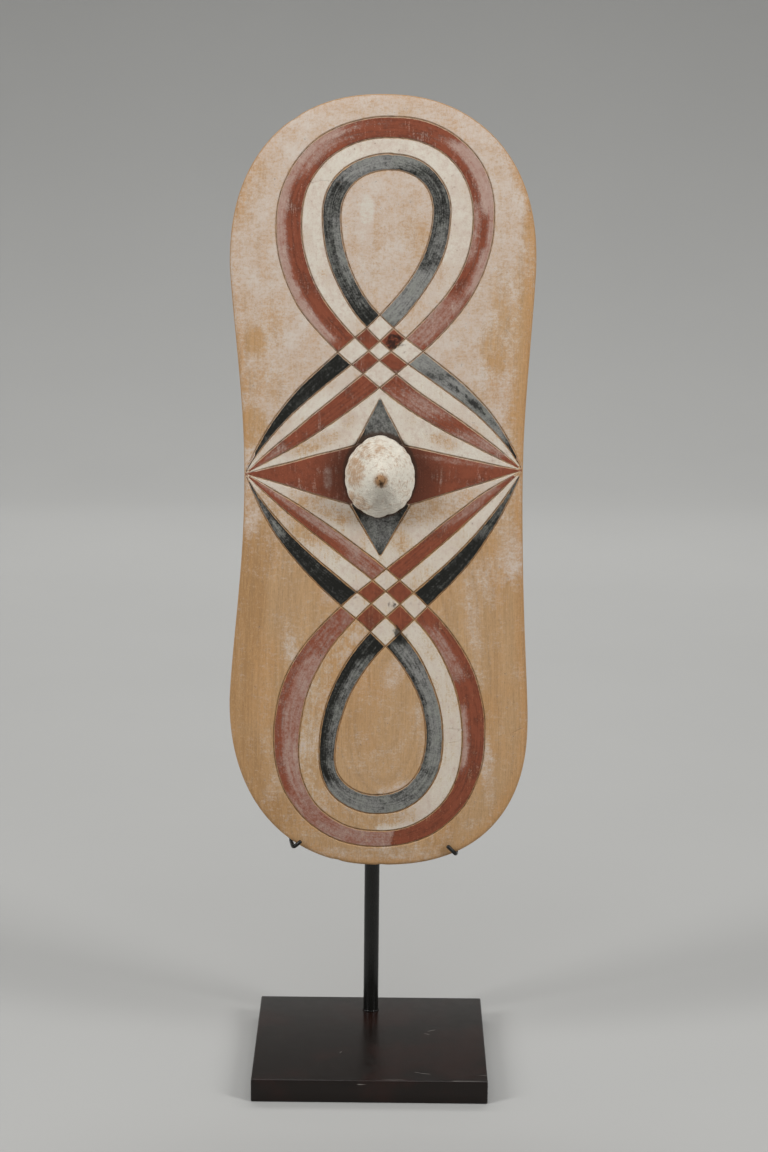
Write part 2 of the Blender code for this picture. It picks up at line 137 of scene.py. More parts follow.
# The four lines of each loop, from the outer line to the inner one; -1 left, 1 right
UPPER_LOOP = {
    "way": 1,
    "crossing_side": -0.002,
    "crossing_heights": (0.069, 0.0905, 0.1055, 0.126),
    "top_side": 0.006,
    "tops": (0.2795, 0.2634, 0.2510, 0.2385),
    "half_widths": {-1: (0.0838, 0.0640, 0.0480, 0.0336), 1: (0.0866, 0.0700, 0.0526, 0.0386)},
    "widest": {-1: (0.194, 0.198, 0.203, 0.203), 1: (0.204, 0.202, 0.204, 0.206)},
}
LOWER_LOOP = {
    "way": -1,
    "crossing_side": 0.005,
    "crossing_heights": (0.0756, 0.0935, 0.1140, 0.1380),
    "top_side": 0.0,
    "tops": (0.3034, 0.2900, 0.2756, 0.2596),
    "half_widths": {-1: (0.0842, 0.0640, 0.0478, 0.0348), 1: (0.0856, 0.0672, 0.0518, 0.0382)},
    "widest": {-1: (0.214, 0.224, 0.227, 0.230), 1: (0.211, 0.217, 0.215, 0.212)},
}
LOOPS = (UPPER_LOOP, LOWER_LOOP)

# The four-pointed star round the boss
STAR_TIPS = {"top": (-0.0014, 0.0616), "low": (0.0, -0.066)}
STAR_CORNERS = {
    "top_left": (-0.0200, 0.0235),
    "top_right": (0.0180, 0.0235),
    "low_right": (0.0235, -0.0235),
    "low_left": (-0.0245, -0.0235),
}

# Fine cuts that no pigment follows: from (side, height) to (side, height)
FINE_CUTS = (
    ((-0.0570, 0.2293), (-0.0405, 0.2301)),
    ((-0.0400, 0.2301), (-0.0330, 0.2290)),
    ((0.0560, -0.2040), (0.0680, -0.2052)),
    ((0.0570, -0.2160), (0.0640, -0.2150)),
    ((0.1080, -0.2080), (0.1165, -0.2040)),
)

# How far the boss's rim strays from an oval: (angle in degrees, share of the radius)
BOSS_RIM = (
    (0, 1.000), (22, 0.985), (44, 0.975), (62, 0.965), (82, 1.000), (104, 1.000), (126, 0.965),
    (150, 0.985), (176, 1.000), (200, 1.005), (222, 1.020), (246, 0.990), (262, 1.020),
    (284, 0.970), (306, 0.995), (330, 1.010), (360, 1.000),
)

# Small losses at the rim: (side, height, radius, depth)
NICKS = (
    (-0.0325, -0.3150, 0.0042, 0.0006),
    (0.0035, -0.3200, 0.0040, 0.0005),
    (0.1150, 0.0260, 0.0035, 0.0006),
    (-0.0700, 0.2790, 0.0060, 0.0005),
)

# Soft patches on the face, each (side, height, half width, half height, turn, amount)
# in millimetres and degrees. The first list is where the thin pale wash is thicker.
WASH_PATCHES = (
    (0, 290, 95, 26, 0, 0.85),
    (-15, 196, 12, 30, 0, 1.00),
    (-13, 207, 8, 16, 0, 1.45),
    (104, -62, 14, 30, 6, 0.62),
    (88, -84, 16, 24, 6, 0.44),
    (75, -112, 8, 32, 4, 0.48),
    (79, -150, 7, 34, 4, 0.30),
    (-104, -34, 14, 20, 20, 0.62),
    (88, -238, 6, 36, 4, 0.55),
    (66, -292, 26, 8, 34, 0.22),
    (0, -309, 66, 7, 0, 0.38),
    (-92, -200, 9, 40, -4, 0.24),
    (-84, -254, 9, 34, -24, 0.34),
    (-74, -132, 8, 34, 24, 0.40),
    (22, -252, 26, 5, 16, 0.62),
    (34, -215, 4, 40, 4, 0.36),
    (12, -160, 9, 18, -20, 0.55),
    (104, -72, 13, 1.6, 3, 0.90),
    (-40, -98, 9, 9, 40, 0.50),
    (-34, -206, 4, 40, 0, 0.22),
    (31, -296, 1.8, 18, 0, 0.50),
    (44, -291, 1.8, 16, 0, 0.45),
    (57, -283, 1.8, 16, 0, 0.40),
)
# Where the pale wash has rubbed away and the wood shows warm
BARE_PATCHES = (
    (-116, 224, 10, 34, 0, 0.34),
    (-91, -128, 18, 34, 0, 0.16),
    (94, -128, 16, 30, 0, 0.14),
    (-102, -244, 14, 44, 0, 0.16),
    (-102, 230, 12, 20, 0, 0.16),
    (-117, 160, 7, 26, 0, 0.10),
    (-99, 104, 11, 13, 0, 0.80),
    (-112, 112, 9, 36, 0, 0.16),
    (-101, 37, 12, 18, 0, 0.72),
    (-98, 72, 12, 14, 0, 0.30),
    (96, 120, 7, 15, 0, 0.74),
    (-52, 25, 30, 7, 20, 0.42),
    (-26, 43, 9, 9, 30, 0.40),
    (50, 27, 16, 7, -20, 0.40),
    (28, 46, 6, 10, -30, 0.30),
    (-88, 116, 12, 22, 0, 0.30),
    (-88, 74, 14, 18, 30, 0.25),
    (117, 196, 8, 60, 0, 0.36),
    (113, 104, 15, 54, 0, 0.66),
    (89, 100, 12, 26, 0, 0.66),
    (94, 140, 10, 30, 0, 0.34),
    (109, 138, 8, 40, 0, 0.44),
    (106, 42, 10, 30, 0, 0.46),
    (-6, 168, 3, 50, 0, 0.20),
    (24, 190, 12, 18, 0, 0.20),
    (-46, 128, 8, 12, 0, 0.16),
    (80, 70, 12, 16, 0, 0.18),
    (-60, 60, 12, 10, 30, 0.16),
)
# Where handling has darkened the bare wood
HANDLED_PATCHES = (
    (-104, -92, 17, 52, 0, 0.85),
    (-92, -62, 16, 26, 0, 0.70),
    (-112, -170, 12, 50, 0, 0.60),
    (-104, -236, 16, 34, 10, 0.75),
    (-84, -274, 22, 16, -34, 0.65),
    (-18, -208, 11, 26, 0, 0.40),
    (88, -128, 14, 18, 0, 0.25),
    (0, -300, 60, 8, 0, 0.20),
)
# Tan areas of the boss, where the chalk has rubbed thin
BOSS_TAN_PATCHES = (
    (-8, 22, 15, 8, 12, 0.66),
    (-20, 6, 8, 14, 0, 1.00),
    (-17, -19, 12, 6, -42, 0.84),
    (18, -10, 7, 9, 20, 0.34),
)
# Where the charcoal has gone grey
GREY_PATCHES = (
    (0, 40, 16, 26, 0, 0.64),
    (0, -42, 17, 24, 0, 0.60),
)
# Where a pink bloom lies over the red
PINK_PATCHES = (
    (-42, -3, 4, 11, 0, 0.75),
    (-70, 13, 36, 2.6, 14, 0.75),
    (-62, -13, 34, 2.0, -14, 0.35),
    (62, 11, 40, 3.0, -8, 0.50),
    (82, -7, 20, 2.0, 10, 0.40),
)
# Where the chalk white has worn to the wood
WORN_CHALK_PATCHES = (
    (-52, 25, 30, 7, 20, 0.58),
    (-26, 44, 8, 8, 30, 0.52),
    (50, 27, 14, 7, -20, 0.55),
    (22, 46, 5, 10, 10, 0.40),
    (-80, 36, 14, 4, 38, 0.40),
    (70, 38, 12, 4, -38, 0.36),
    (28, 8, 6, 10, 0, 0.30),
    (46, -24, 40, 13, 20, 0.72),
    (16, -52, 9, 14, 30, 0.30),
    (-44, -27, 34, 8, -24, 0.62),
    (-16, -52, 8, 14, -30, 0.30),
    (6, -276, 26, 10, 0, 0.80),
)
# Blots of soot
SOOT_PATCHES = (
    (9, 105, 8, 8, 45, 0.62),
    (15, -128, 3.6, 8, 12, 0.90),
    (21, -133, 2.4, 6, -10, 0.60),
    (10, -104, 4, 4, 0, 0.35),
    (47, 77, 5, 3.0, -38, 0.40),
    (57, 69, 8, 3.0, -40, 0.54),
    (74, 56, 14, 2.8, -43, 0.68),
    (88, 42, 6, 1.8, -50, 0.60),
)

# Worn stretches of a stripe, each (loop, arm, stripe, height from, height to, across,
# half width, amount). The loop is 1 above and -1 below the star; the arm is the flank
# the stripe comes from, -1 left and 1 right; heights are in millimetres; across runs
# from 0 on the outer line to 1 on the inner one.
PINK_STRETCHES = (
    (1, -1, 0, 272, 104, 0.06, 0.33, 0.88),
    (1, -1, 0, 264, 232, 0.34, 0.42, 0.66),
    (1, 1, 0, 262, 205, 0.20, 0.42, 0.95),
    (1, 1, 0, 232, 150, 0.05, 0.26, 0.85),
    (1, 1, 0, 214, 166, 0.92, 0.30, 0.62),
    (1, 1, 0, 178, 140, 0.12, 0.34, 0.80),
    (1, 1, 0, 142, 98, 0.62, 0.55, 0.66),
    (1, -1, 0, 68, 44, 0.45, 0.50, 0.60),
    (1, -1, 0, 36, 14, 0.50, 0.70, 0.58),
    (1, 1, 0, 22, 4, 0.35, 0.55, 0.45),
    (-1, -1, 0, -104, -150, 0.60, 0.60, 0.48),
    (-1, -1, 0, -142, -264, 0.70, 0.42, 0.72),
    (-1, -1, 0, -150, -270, 0.20, 0.40, 0.30),
    (-1, -1, 0, -256, -306, 0.40, 0.90, 0.62),
    (-1, 1, 0, -120, -165, 0.78, 0.40, 0.60),
    (-1, 1, 0, -186, -238, 0.95, 0.26, 0.80),
    (-1, 1, 0, -4, -74, 0.18, 0.40, 0.66),
    (-1, 1, 0, -60, -90, 0.45, 0.60, 0.50),
    (-1, -1, 0, -6, -42, 0.25, 0.45, 0.55),
)
GREY_STRETCHES = (
    (1, -1, 2, 260, 130, 0.50, 2.00, 0.36),
    (1, 1, 2, 260, 130, 0.50, 2.00, 0.36),
    (1, -1, 2, 262, 228, 0.62, 0.65, 0.95),
    (1, 1, 2, 262, 240, 0.62, 0.60, 0.95),
    (1, -1, 2, 206, 150, 0.88, 0.40, 0.75),
    (1, 1, 2, 200, 168, 0.40, 0.45, 0.60),
    (1, 1, 2, 164, 118, 0.50, 1.00, 0.95),
    (1, -1, 2, 104, 78, 0.50, 1.00, 1.00),
    (1, -1, 2, 80, 56, 0.50, 1.00, 1.00),
    (1, -1, 2, 60, 28, 0.45, 0.90, 0.85),
    (-1, -1, 2, -146, -250, 0.88, 0.42, 0.60),
    (-1, -1, 2, -248, -290, 0.50, 1.00, 0.80),
    (-1, 1, 2, -136, -240, 0.30, 0.52, 0.84),
    (-1, 1, 2, -150, -250, 0.95, 0.24, 0.40),
    (-1, 1, 2, -238, -290, 0.50, 1.00, 0.72),
    (-1, 1, 2, -14, -52, 0.70, 0.42, 0.62),
    (-1, -1, 2, -42, -50, 0.50, 1.00, 0.50),
    (-1, -1, 2, -4, -34, 0.50, 1.00, 0.42),
)
WORN_CHALK_STRETCHES = (
    (1, -1, 1, 192, 172, 0.10, 0.36, 0.55),
    (1, -1, 1, 162, 148, 0.62, 0.36, 0.50),
    (1, -1, 1, 122, 104, 0.60, 0.50, 0.50),
    (1, 1, 1, 234, 212, 0.30, 0.50, 0.50),
    (1, 1, 1, 200, 186, 0.80, 0.34, 0.40),
    (1, 1, 1, 168, 96, 0.45, 1.20, 0.72),
    (1, 1, 1, 98, 66, 0.35, 0.60, 0.75),
    (1, 1, 1, 44, 10, 0.60, 0.50, 0.45),
    (1, -1, 1, 60, 20, 0.40, 0.50, 0.30),
    (-1, -1, 1, -104, -240, 0.50, 2.00, 0.56),
    (-1, -1, 1, -232, -300, 0.50, 2.00, 0.80),
    (-1, 1, 1, -10, -56, 0.40, 0.60, 0.55),
)

# Brush marks with a sharp end: (side from, side to, height from, height to, softness, amount)
PINK_BRUSH_MARKS = (
    (-46, 8, -312, -276, 1.6, 0.66),
)

# The plate's plainest scratches: (side, depth, angle in degrees, half length) in metres
PLATE_SCRATCHES = (
    (0.0515, 0.0165, 28.0, 0.0046),
    (0.0475, 0.0085, -26.0, 0.0028),
    (0.0450, -0.0790, -14.0, 0.0052),
    (0.0385, -0.0765, -8.0, 0.0026),
    (-0.0240, -0.0340, 62.0, 0.0022),
)

# The pigment of each stripe of a band, counted from the outer line
PIGMENT_OF_STRIPE = {0: "red", 1: "white", 2: "black"}
# How far the cut lines and the pigments are taken to be from the sides and the back
OFF_FACE = 0.05

# Painted shadows and other marks: the boss's painted shadow on the red beside it and its painted
# contact shadow at its foot; dirt in the grain; painted shade at the foot of the boss and on its lower
# half below the tip; the worn tip, its cracks and its pit; and scratched steel
BOSS_SHADOW_ON_RED = (0.052, 0.024, 0.017)
BOSS_CONTACT_SHADOW = (0.050, 0.028, 0.018)
DIRT_BROWN = (0.09, 0.06, 0.04)
BOSS_FOOT_SHADOW = (0.10, 0.060, 0.040)
BOSS_PAINTED_SHADE = (0.32, 0.29, 0.25)
TIP_TAN = (0.37, 0.180, 0.062)
CRACK_BROWN = (0.075, 0.045, 0.025)
PIT_BROWN = (0.070, 0.040, 0.022)
BARE_STEEL = (0.26, 0.24, 0.22)

# How far before its end each kind of line stops, and over what length it grows finer
LOOP_LINE_GAP = 0.0022
LOOP_LINE_FADE = 0.030
STAR_LINE_GAP = 0.0012
STAR_LINE_FADE = 0.025

# How finely the board is divided, and how far in the rings of its rim lie
END_STEPS = 64
SIDE_STEPS = 140
OUTLINE_STEP = 0.0028
LINE_STEP = 0.0021
FINE_STEP = 0.0004
FACE_PITCH = 0.0021
BACK_PITCH = 0.0042
RIM_INSETS = (0.0, 0.00035, 0.0010, 0.0020, 0.0035, 0.0056)
# How far the cut lines keep from the rim, and loose points from the cut lines
CUT_STOP = 0.0013
CUT_CLEARANCE = 0.0009

# The scoops that the adze left on the back
GOUGE_WIDTH = 0.011
GOUGE_LENGTH = 0.032

# The paper sweep below and behind the stand
SWEEP_HALF_WIDTH = 9.0
SWEEP_FRONT = -5.5
SWEEP_BEND_START = 2.6
SWEEP_BEND = 1.1
SWEEP_TOP = 5.5


def shield_look():
    return bpy.context.scene.dance_shield


def stand_look():
    return bpy.context.scene.shield_stand


def stage_look():
    return bpy.context.scene.shield_stage


class ShieldLook(PropertyGroup):
    """What can be changed on the carving and its pigments."""
    groove_width: FloatProperty(
        name="Line width", description="Width of an incised line at the face",
        default=0.0021, min=0.0005, max=0.006, unit="LENGTH", precision=4)
    groove_depth: FloatProperty(
        name="Line depth", description="Depth of an incised line",
        default=0.0012, min=0.0002, max=0.004, unit="LENGTH", precision=4)
    hand_wander: FloatProperty(
        name="Wander", description="How far a cut line strays from its drawn curve",
        default=0.0003, min=0.0, max=0.002, unit="LENGTH", precision=4)
    unevenness: FloatProperty(
        name="Unevenness", description="Height of the slight waves left by the adze",
        default=0.00035, min=0.0, max=0.002, unit="LENGTH", precision=5)
    gouge_depth: FloatProperty(
        name="Gouge depth", description="Depth of the tool marks on the back",
        default=0.00055, min=0.0, max=0.002, unit="LENGTH", precision=5)
    paint_margin: FloatProperty(
        name="Paint margin", description="Bare strip between a line and its pigment",
        default=0.0007, min=0.0, max=0.004, unit="LENGTH", precision=4)
    wood: FloatVectorProperty(
        name="Wood", description="Colour of the bare dry wood", subtype="COLOR", size=3,
        min=0.0, max=1.0, default=(0.424, 0.266, 0.136))
    wood_warm: FloatVectorProperty(
        name="Rubbed wood", description="Colour of the wood where hands have rubbed it",
        subtype="COLOR", size=3, min=0.0, max=1.0, default=(0.450, 0.245, 0.100))
    wood_handled: FloatVectorProperty(
        name="Handled wood", description="Colour of the wood that handling has darkened",
        subtype="COLOR", size=3, min=0.0, max=1.0, default=(0.355, 0.196, 0.080))
    wash: FloatVectorProperty(
        name="Wash", description="Colour of the thin pale wash", subtype="COLOR", size=3,
        min=0.0, max=1.0, default=(0.530, 0.430, 0.355))
    chalk: FloatVectorProperty(
        name="Chalk", description="Colour of the chalk white", subtype="COLOR", size=3,
        min=0.0, max=1.0, default=(0.570, 0.535, 0.460))
    earth_red: FloatVectorProperty(
        name="Earth red", description="Colour of the red earth pigment", subtype="COLOR",
        size=3, min=0.0, max=1.0, default=(0.220, 0.062, 0.032))
    pink_bloom: FloatVectorProperty(
        name="Pink bloom", description="Colour of the pale bloom on the red",
        subtype="COLOR", size=3, min=0.0, max=1.0, default=(0.420, 0.290, 0.240))
    charcoal: FloatVectorProperty(
        name="Charcoal", description="Colour of the black pigment", subtype="COLOR",
        size=3, min=0.0, max=1.0, default=(0.011, 0.011, 0.009))
    grey_bloom: FloatVectorProperty(
        name="Grey bloom", description="Colour of the worn, greyed charcoal",
        subtype="COLOR", size=3, min=0.0, max=1.0, default=(0.275, 0.270, 0.256))
    groove_brown: FloatVectorProperty(
        name="Cut wood", description="Colour in the bottom of the incised lines",
        subtype="COLOR", size=3, min=0.0, max=1.0, default=(0.110, 0.060, 0.030))


class StandLook(PropertyGroup):
    """What can be changed on the steel stand."""
    plate_edge: FloatProperty(
        name="Plate edge", description="Width of the rounding on the plate's edges",
        default=0.0012, min=0.0002, max=0.004, unit="LENGTH", precision=4)
    patina: FloatVectorProperty(
        name="Patina", description="Colour of the plate's brown-black patina",
        subtype="COLOR", size=3, min=0.0, max=1.0, default=(0.0075, 0.0042, 0.0028))
    patina_rust: FloatVectorProperty(
        name="Rusty patina", description="Colour of the redder patches of the patina",
        subtype="COLOR", size=3, min=0.0, max=1.0, default=(0.0160, 0.0058, 0.0038))
    black_steel: FloatVectorProperty(
        name="Blackened steel", description="Colour of the bar and of the hooks",
        subtype="COLOR", size=3, min=0.0, max=1.0, default=(0.0060, 0.0058, 0.0050))


class StageLook(PropertyGroup):
    """The camera, the lights and the pale ground."""
    camera_side: FloatProperty(
        name="Camera side", description="Sideways place of the camera",
        default=0.00752, unit="LENGTH", precision=4)
    camera_distance: FloatProperty(
        name="Camera distance", description="How far the camera stands before the plate",
        default=2.2003, unit="LENGTH", precision=4)
    camera_height: FloatProperty(
        name="Camera height", description="Height of the camera above the ground",
        default=0.8763, unit="LENGTH", precision=4)
    camera_pitch: FloatProperty(
        name="Camera pitch", description="How far the camera looks down",
        default=math.radians(11.89), subtype="ANGLE")
    camera_roll: FloatProperty(
        name="Camera roll", description="How far the camera is turned about its own axis",
        default=math.radians(0.60), subtype="ANGLE")
    lens: FloatProperty(
        name="Lens", description="Focal length on a sensor 36 mm along its long side",
        default=87.1, min=10.0, max=300.0, unit="CAMERA")
    ground: FloatVectorProperty(
        name="Ground", description="Colour of the ground and the backdrop",
        subtype="COLOR", size=3, min=0.0, max=1.0, default=(0.460, 0.459, 0.446))
    key_power: FloatProperty(
        name="Top light", description="Power of the large soft light above and in front",
        default=7.5, min=0.0, max=500.0, unit="POWER")
    side_power: FloatProperty(
        name="Side lights", description="Power of each of the two tall side lights",
        default=27.0, min=0.0, max=500.0, unit="POWER")
    back_power: FloatProperty(
        name="Backdrop light", description="Power of the light on the ground behind",
        default=12.0, min=0.0, max=500.0, unit="POWER")
    sky_strength: FloatProperty(
        name="Room light", description="Strength of the even light of the room",
        default=0.20, min=0.0, max=5.0)


# Numbers and curves

def soft_step(low, high, value):
    """0 below low, 1 above high, and a smooth rise between."""
    share = np.clip((value - low) / (high - low), 0.0, 1.0)
    return share * share * (3.0 - 2.0 * share)


def bezier(start, leave, arrive, end, steps):
    """Points on a cubic curve, its first and last ones included."""
    t = np.linspace(0.0, 1.0, steps + 1)[:, None]
    s = 1.0 - t
    return s**3 * start + 3 * s * s * t * leave + 3 * s * t * t * arrive + t**3 * end


def evenly(points, step):
    """The same polyline with its points a fixed step apart, and their arc lengths."""
    runs = np.linalg.norm(np.diff(points, axis=0), axis=1)
    along = np.concatenate([[0.0], np.cumsum(runs)])
    count = max(2, int(round(along[-1] / step)))
    places = np.linspace(0.0, along[-1], count + 1)
    spaced = np.stack([np.interp(places, along, points[:, i]) for i in (0, 1)], axis=1)
    return spaced, places


def sideways(points):
    """Unit vectors across a polyline."""
    along = np.gradient(points, axis=0)
    along /= np.linalg.norm(along, axis=1)[:, None] + 1e-12
    return np.stack([-along[:, 1], along[:, 0]], axis=1)


def inside(points, polygon):
    """Which points lie inside a closed polygon."""
    found = np.zeros(len(points), dtype=bool)
    x, y = points[:, 0], points[:, 1]
    for (ax, ay), (bx, by) in zip(polygon, np.roll(polygon, -1, axis=0)):
        if ay == by:
            continue
        spans = (ay > y) != (by > y)
        found ^= spans & (x < ax + (y - ay) * (bx - ax) / (by - ay))
    return found


def tree_of(points):
    """A search tree of flat points."""
    tree = kdtree.KDTree(len(points))
    for index, (x, y) in enumerate(points):
        tree.insert((x, y, 0.0), index)
    tree.balance()
    return tree


def nearest(tree, points):
    """The distance from each point to the nearest one of a tree, and that one's number."""
    found = [tree.find((x, y, 0.0))[1:] for x, y in points]
    return np.array([hit[1] for hit in found]), np.array([hit[0] for hit in found], dtype=int)


def nearest_on_line(line, points):
    """How far points lie from a polyline, and where along it."""
    spots, along = evenly(np.asarray(line), FINE_STEP)
    distance, index = nearest(tree_of(spots), points)
    return distance, along[index]


def from_rim(outline, points):
    """How far points lie from the closed outline."""
    return nearest_on_line(np.vstack([outline, outline[:1]]), points)[0]


# The outline

def waist_half_width(height, side):
    """Half the board's width between its two widest places."""
    above = height > -WAIST_BELOW_STAR
    widest = HALF_WIDTH_TOP if above else HALF_WIDTH_LOW
    span = WIDE_TOP + WAIST_BELOW_STAR if above else WIDE_LOW[side] - WAIST_BELOW_STAR
    share = abs(height + WAIST_BELOW_STAR) / span
    pinch = (0.5 + 0.5 * math.cos(math.pi * share)) ** WAIST_SHARPNESS
    return widest - (widest - WAIST[side]) * pinch


def rounded_end(half_width, rise, roundness):
    """A quarter of an end, from its tip out to the widest place."""
    angles = 0.5 * math.pi * np.arange(END_STEPS) / END_STEPS
    out = half_width * np.sin(angles) ** (2.0 / roundness)
    up = rise * np.cos(angles) ** (2.0 / roundness)
    return np.stack([out, up], axis=1)


def outline_side(side):
    """One side of the outline, from the top tip to the lower tip."""
    top = rounded_end(HALF_WIDTH_TOP, END_TOP - WIDE_TOP, ROUND_TOP)
    wide_low = WIDE_LOW[side]
    low = rounded_end(HALF_WIDTH_LOW, END_LOW - wide_low, ROUND_LOW[side])
    points = [(side * out, WIDE_TOP + up) for out, up in top]
    for step in range(SIDE_STEPS + 1):
        height = WIDE_TOP - (WIDE_TOP + wide_low) * step / SIDE_STEPS
        points.append((side * waist_half_width(height, side), height))
    points += [(side * out, -wide_low - up) for out, up in low[::-1]]
    return points


def outline_points():
    """The closed outline with its points evenly spaced."""
    closed = outline_side(1) + outline_side(-1)[-2::-1]
    spaced, _ = evenly(np.array(closed), OUTLINE_STEP)
    return spaced[:-1]


def low_edge_height(side_place):
    """The height of the board's lower edge at a place along it."""
    side = 1 if side_place > 0 else -1
    share = 1.0 - (abs(side_place) / HALF_WIDTH_LOW) ** ROUND_LOW[side]
    return -WIDE_LOW[side] - (END_LOW - WIDE_LOW[side]) * share ** (1.0 / ROUND_LOW[side])


def inward(outline, distance):
    """The outline moved inwards by a distance."""
    along = np.roll(outline, -1, axis=0) - np.roll(outline, 1, axis=0)
    along /= np.linalg.norm(along, axis=1)[:, None]
    normal = np.stack([along[:, 1], -along[:, 0]], axis=1)
    return outline + normal * distance


# The incised lines

def node_at(side):
    """The place at the waist where all the lines of one side run together."""
    return np.array([side * (WAIST[side] - NODE_INSET), NODE_HEIGHT[side]])


def half_line(loop, line, side):
    """One half of a line: from the loop's top down its flank, over the crossing to a node."""
    way = loop["way"]
    level = loop["widest"][side][line]
    start = np.array([side * loop["half_widths"][side][line], level])
    top_side, top = loop["top_side"], loop["tops"][line]
    angles = np.linspace(0.0, 0.5 * math.pi, 40)[:-1]
    out = np.sin(angles) ** (2.0 / LOOP_ROUND)
    up = np.cos(angles) ** (2.0 / LOOP_ROUND)
    cap = np.stack([top_side + (start[0] - top_side) * out, level + (top - level) * up], axis=1)

    crossing = np.array([loop["crossing_side"], loop["crossing_heights"][line]])
    angle = CROSSING_ANGLES[line]
    heading = np.array([-side * math.cos(angle), -math.sin(angle)])
    reach = np.linalg.norm(crossing - start)
    leave, arrive = FLANK_HANDLES[line]
    down = start - np.array([0.0, leave * reach])
    flank = bezier(start, down, crossing - heading * arrive * reach, crossing, 60)

    node = node_at(-side) * np.array([1.0, way])
    angle = FAN_ANGLES[line]
    fan = np.array([side * math.cos(angle), math.sin(angle)])
    reach = np.linalg.norm(node - crossing)
    leave, arrive = TAIL_HANDLES[line]
    tail = bezier(
        crossing, crossing + heading * leave * reach, node + fan * arrive * reach, node, 60)
    return np.concatenate([cap, flank[:-1], tail]) * np.array([1.0, way])


def star_outline():
    """The star's eight corners in order round it."""
    tip, corner = STAR_TIPS, STAR_CORNERS
    return np.array([
        tip["top"], corner["top_right"], node_at(1), corner["low_right"],
        tip["low"], corner["low_left"], node_at(-1), corner["top_left"],
    ])


def wander(points, seed, amount):
    """Push a line a little to and fro, as a hand-held knife does."""
    across = sideways(points)
    drift = [noise.noise(Vector((x * 38.0, y * 38.0, seed * 7.3))) for x, y in points]
    return points + across * (np.array(drift) * 2.0 * amount)[:, None]


def line_paths():
    """Every incised line as (points, taper), the taper 1 where the cut is full."""
    look = shield_look()
    paths = []
    seed = 0
    for loop in LOOPS:
        for line in range(4):
            for side in (-1, 1):
                seed += 1
                points, along = evenly(half_line(loop, line, side), LINE_STEP)
                points = wander(points, seed, look.hand_wander)
                left = along[-1] - along
                taper = 0.42 + 0.58 * soft_step(0.0, LOOP_LINE_FADE, left)
                keep = left > LOOP_LINE_GAP
                paths.append((points[keep], taper[keep]))
    star = star_outline()
    for index, (start, end) in enumerate(zip(star, np.roll(star, -1, axis=0))):
        points, along = evenly(np.array([start, end]), LINE_STEP)
        points = wander(points, 40 + index, look.hand_wander)
        tip_distance = along if index % 2 == 0 else along[-1] - along
        taper = 0.50 + 0.50 * soft_step(0.0, STAR_LINE_FADE, tip_distance)
        keep = tip_distance > STAR_LINE_GAP
        paths.append((points[keep], taper[keep]))
    for start, end in FINE_CUTS:
        points, _ = evenly(np.array([start, end]), 3.0 * FINE_STEP)
        paths.append((wander(points, 60, 0.0004), np.full(len(points), 0.30)))
    return paths


class GrooveField:
    """How deep the incised lines are at any point of the face."""

    def __init__(self, paths):
        look = shield_look()
        spots = []
        for points, taper in paths:
            fine, _ = evenly(points, FINE_STEP)
            old = np.linspace(0.0, 1.0, len(taper))
            new = np.linspace(0.0, 1.0, len(fine))
            spots.append(np.column_stack([fine, np.interp(new, old, taper)]))
        self.spots = np.concatenate(spots)
        self.tree = tree_of(self.spots[:, :2])
        self.half = 0.5 * look.groove_width
        self.deep = look.groove_depth

    def measure(self, points):
        """The distance to the nearest line, its half width there, and the depth."""
        distance, index = nearest(self.tree, points)
        taper = self.spots[index, 2]
        half = self.half * taper
        depth = self.deep * taper * np.clip(1.0 - distance / half, 0.0, 1.0)
        return distance, half, depth


# The board's sheets

def grid_points(pitch, outline, seed):
    """Jittered points in rows over the board, clear of its rim."""
    rng = np.random.default_rng(seed)
    rows = int((END_TOP + END_LOW) / (pitch * 0.866))
    columns = int(2.0 * HALF_WIDTH_TOP / pitch) + 1
    row, column = np.meshgrid(np.arange(rows), np.arange(columns), indexing="ij")
    x = -HALF_WIDTH_TOP + (column + 0.5 * (row % 2)) * pitch
    y = -END_LOW + (row + 0.5) * pitch * 0.866
    points = np.stack([x.ravel(), y.ravel()], axis=1)
    points += rng.uniform(-0.16, 0.16, points.shape) * pitch
    return points[inside(points, inward(outline, EDGE_ROUND + 0.6 * pitch))]


def sheet(outline, cuts, loose):
    """Triangulate one side of the board, keeping the rings of its rim and its cuts as edges.

    Gives the points, the triangles, the rim's points in order, and how far from the rim
    each point lies. The triangulation itself works in millimetres.
    """
    rings = [(inward(outline, inset), True) for inset in RIM_INSETS]
    places = []
    edges = []
    for points, closed in rings + [(cut, False) for cut in cuts]:
        first = len(places)
        places += [Vector(p / MM) for p in points]
        last = len(places)
        edges += [(i, i + 1) for i in range(first, last - 1)]
        if closed:
            edges.append((last - 1, first))
    places += [Vector(p / MM) for p in loose]
    found = geometry.delaunay_2d_cdt(places, edges, [], 0, 0.004, True)
    verts = np.array([tuple(v) for v in found[0]]) * MM
    faces = np.array([f for f in found[2] if len(f) == 3])
    keep = inside(verts[faces].mean(axis=1), outline)
    origin = {}
    for new, olds in enumerate(found[3]):
        for old in olds:
            origin[old] = new
    rim = [origin[i] for i in range(len(outline))]
    return verts, faces[keep], rim, from_rim(outline, verts)


def rounded_drop(distance):
    """How far the rounded rim has fallen at a distance from the edge."""
    left = np.clip(EDGE_ROUND - distance, 0.0, EDGE_ROUND)
    return EDGE_ROUND - np.sqrt(EDGE_ROUND**2 - left**2)


def camber_at(distance):
    """The rise of the face at a distance from the edge."""
    left = 1.0 - np.clip((distance - EDGE_ROUND) / CAMBER_REACH, 0.0, 1.0)
    return CAMBER * (1.0 - left * left)


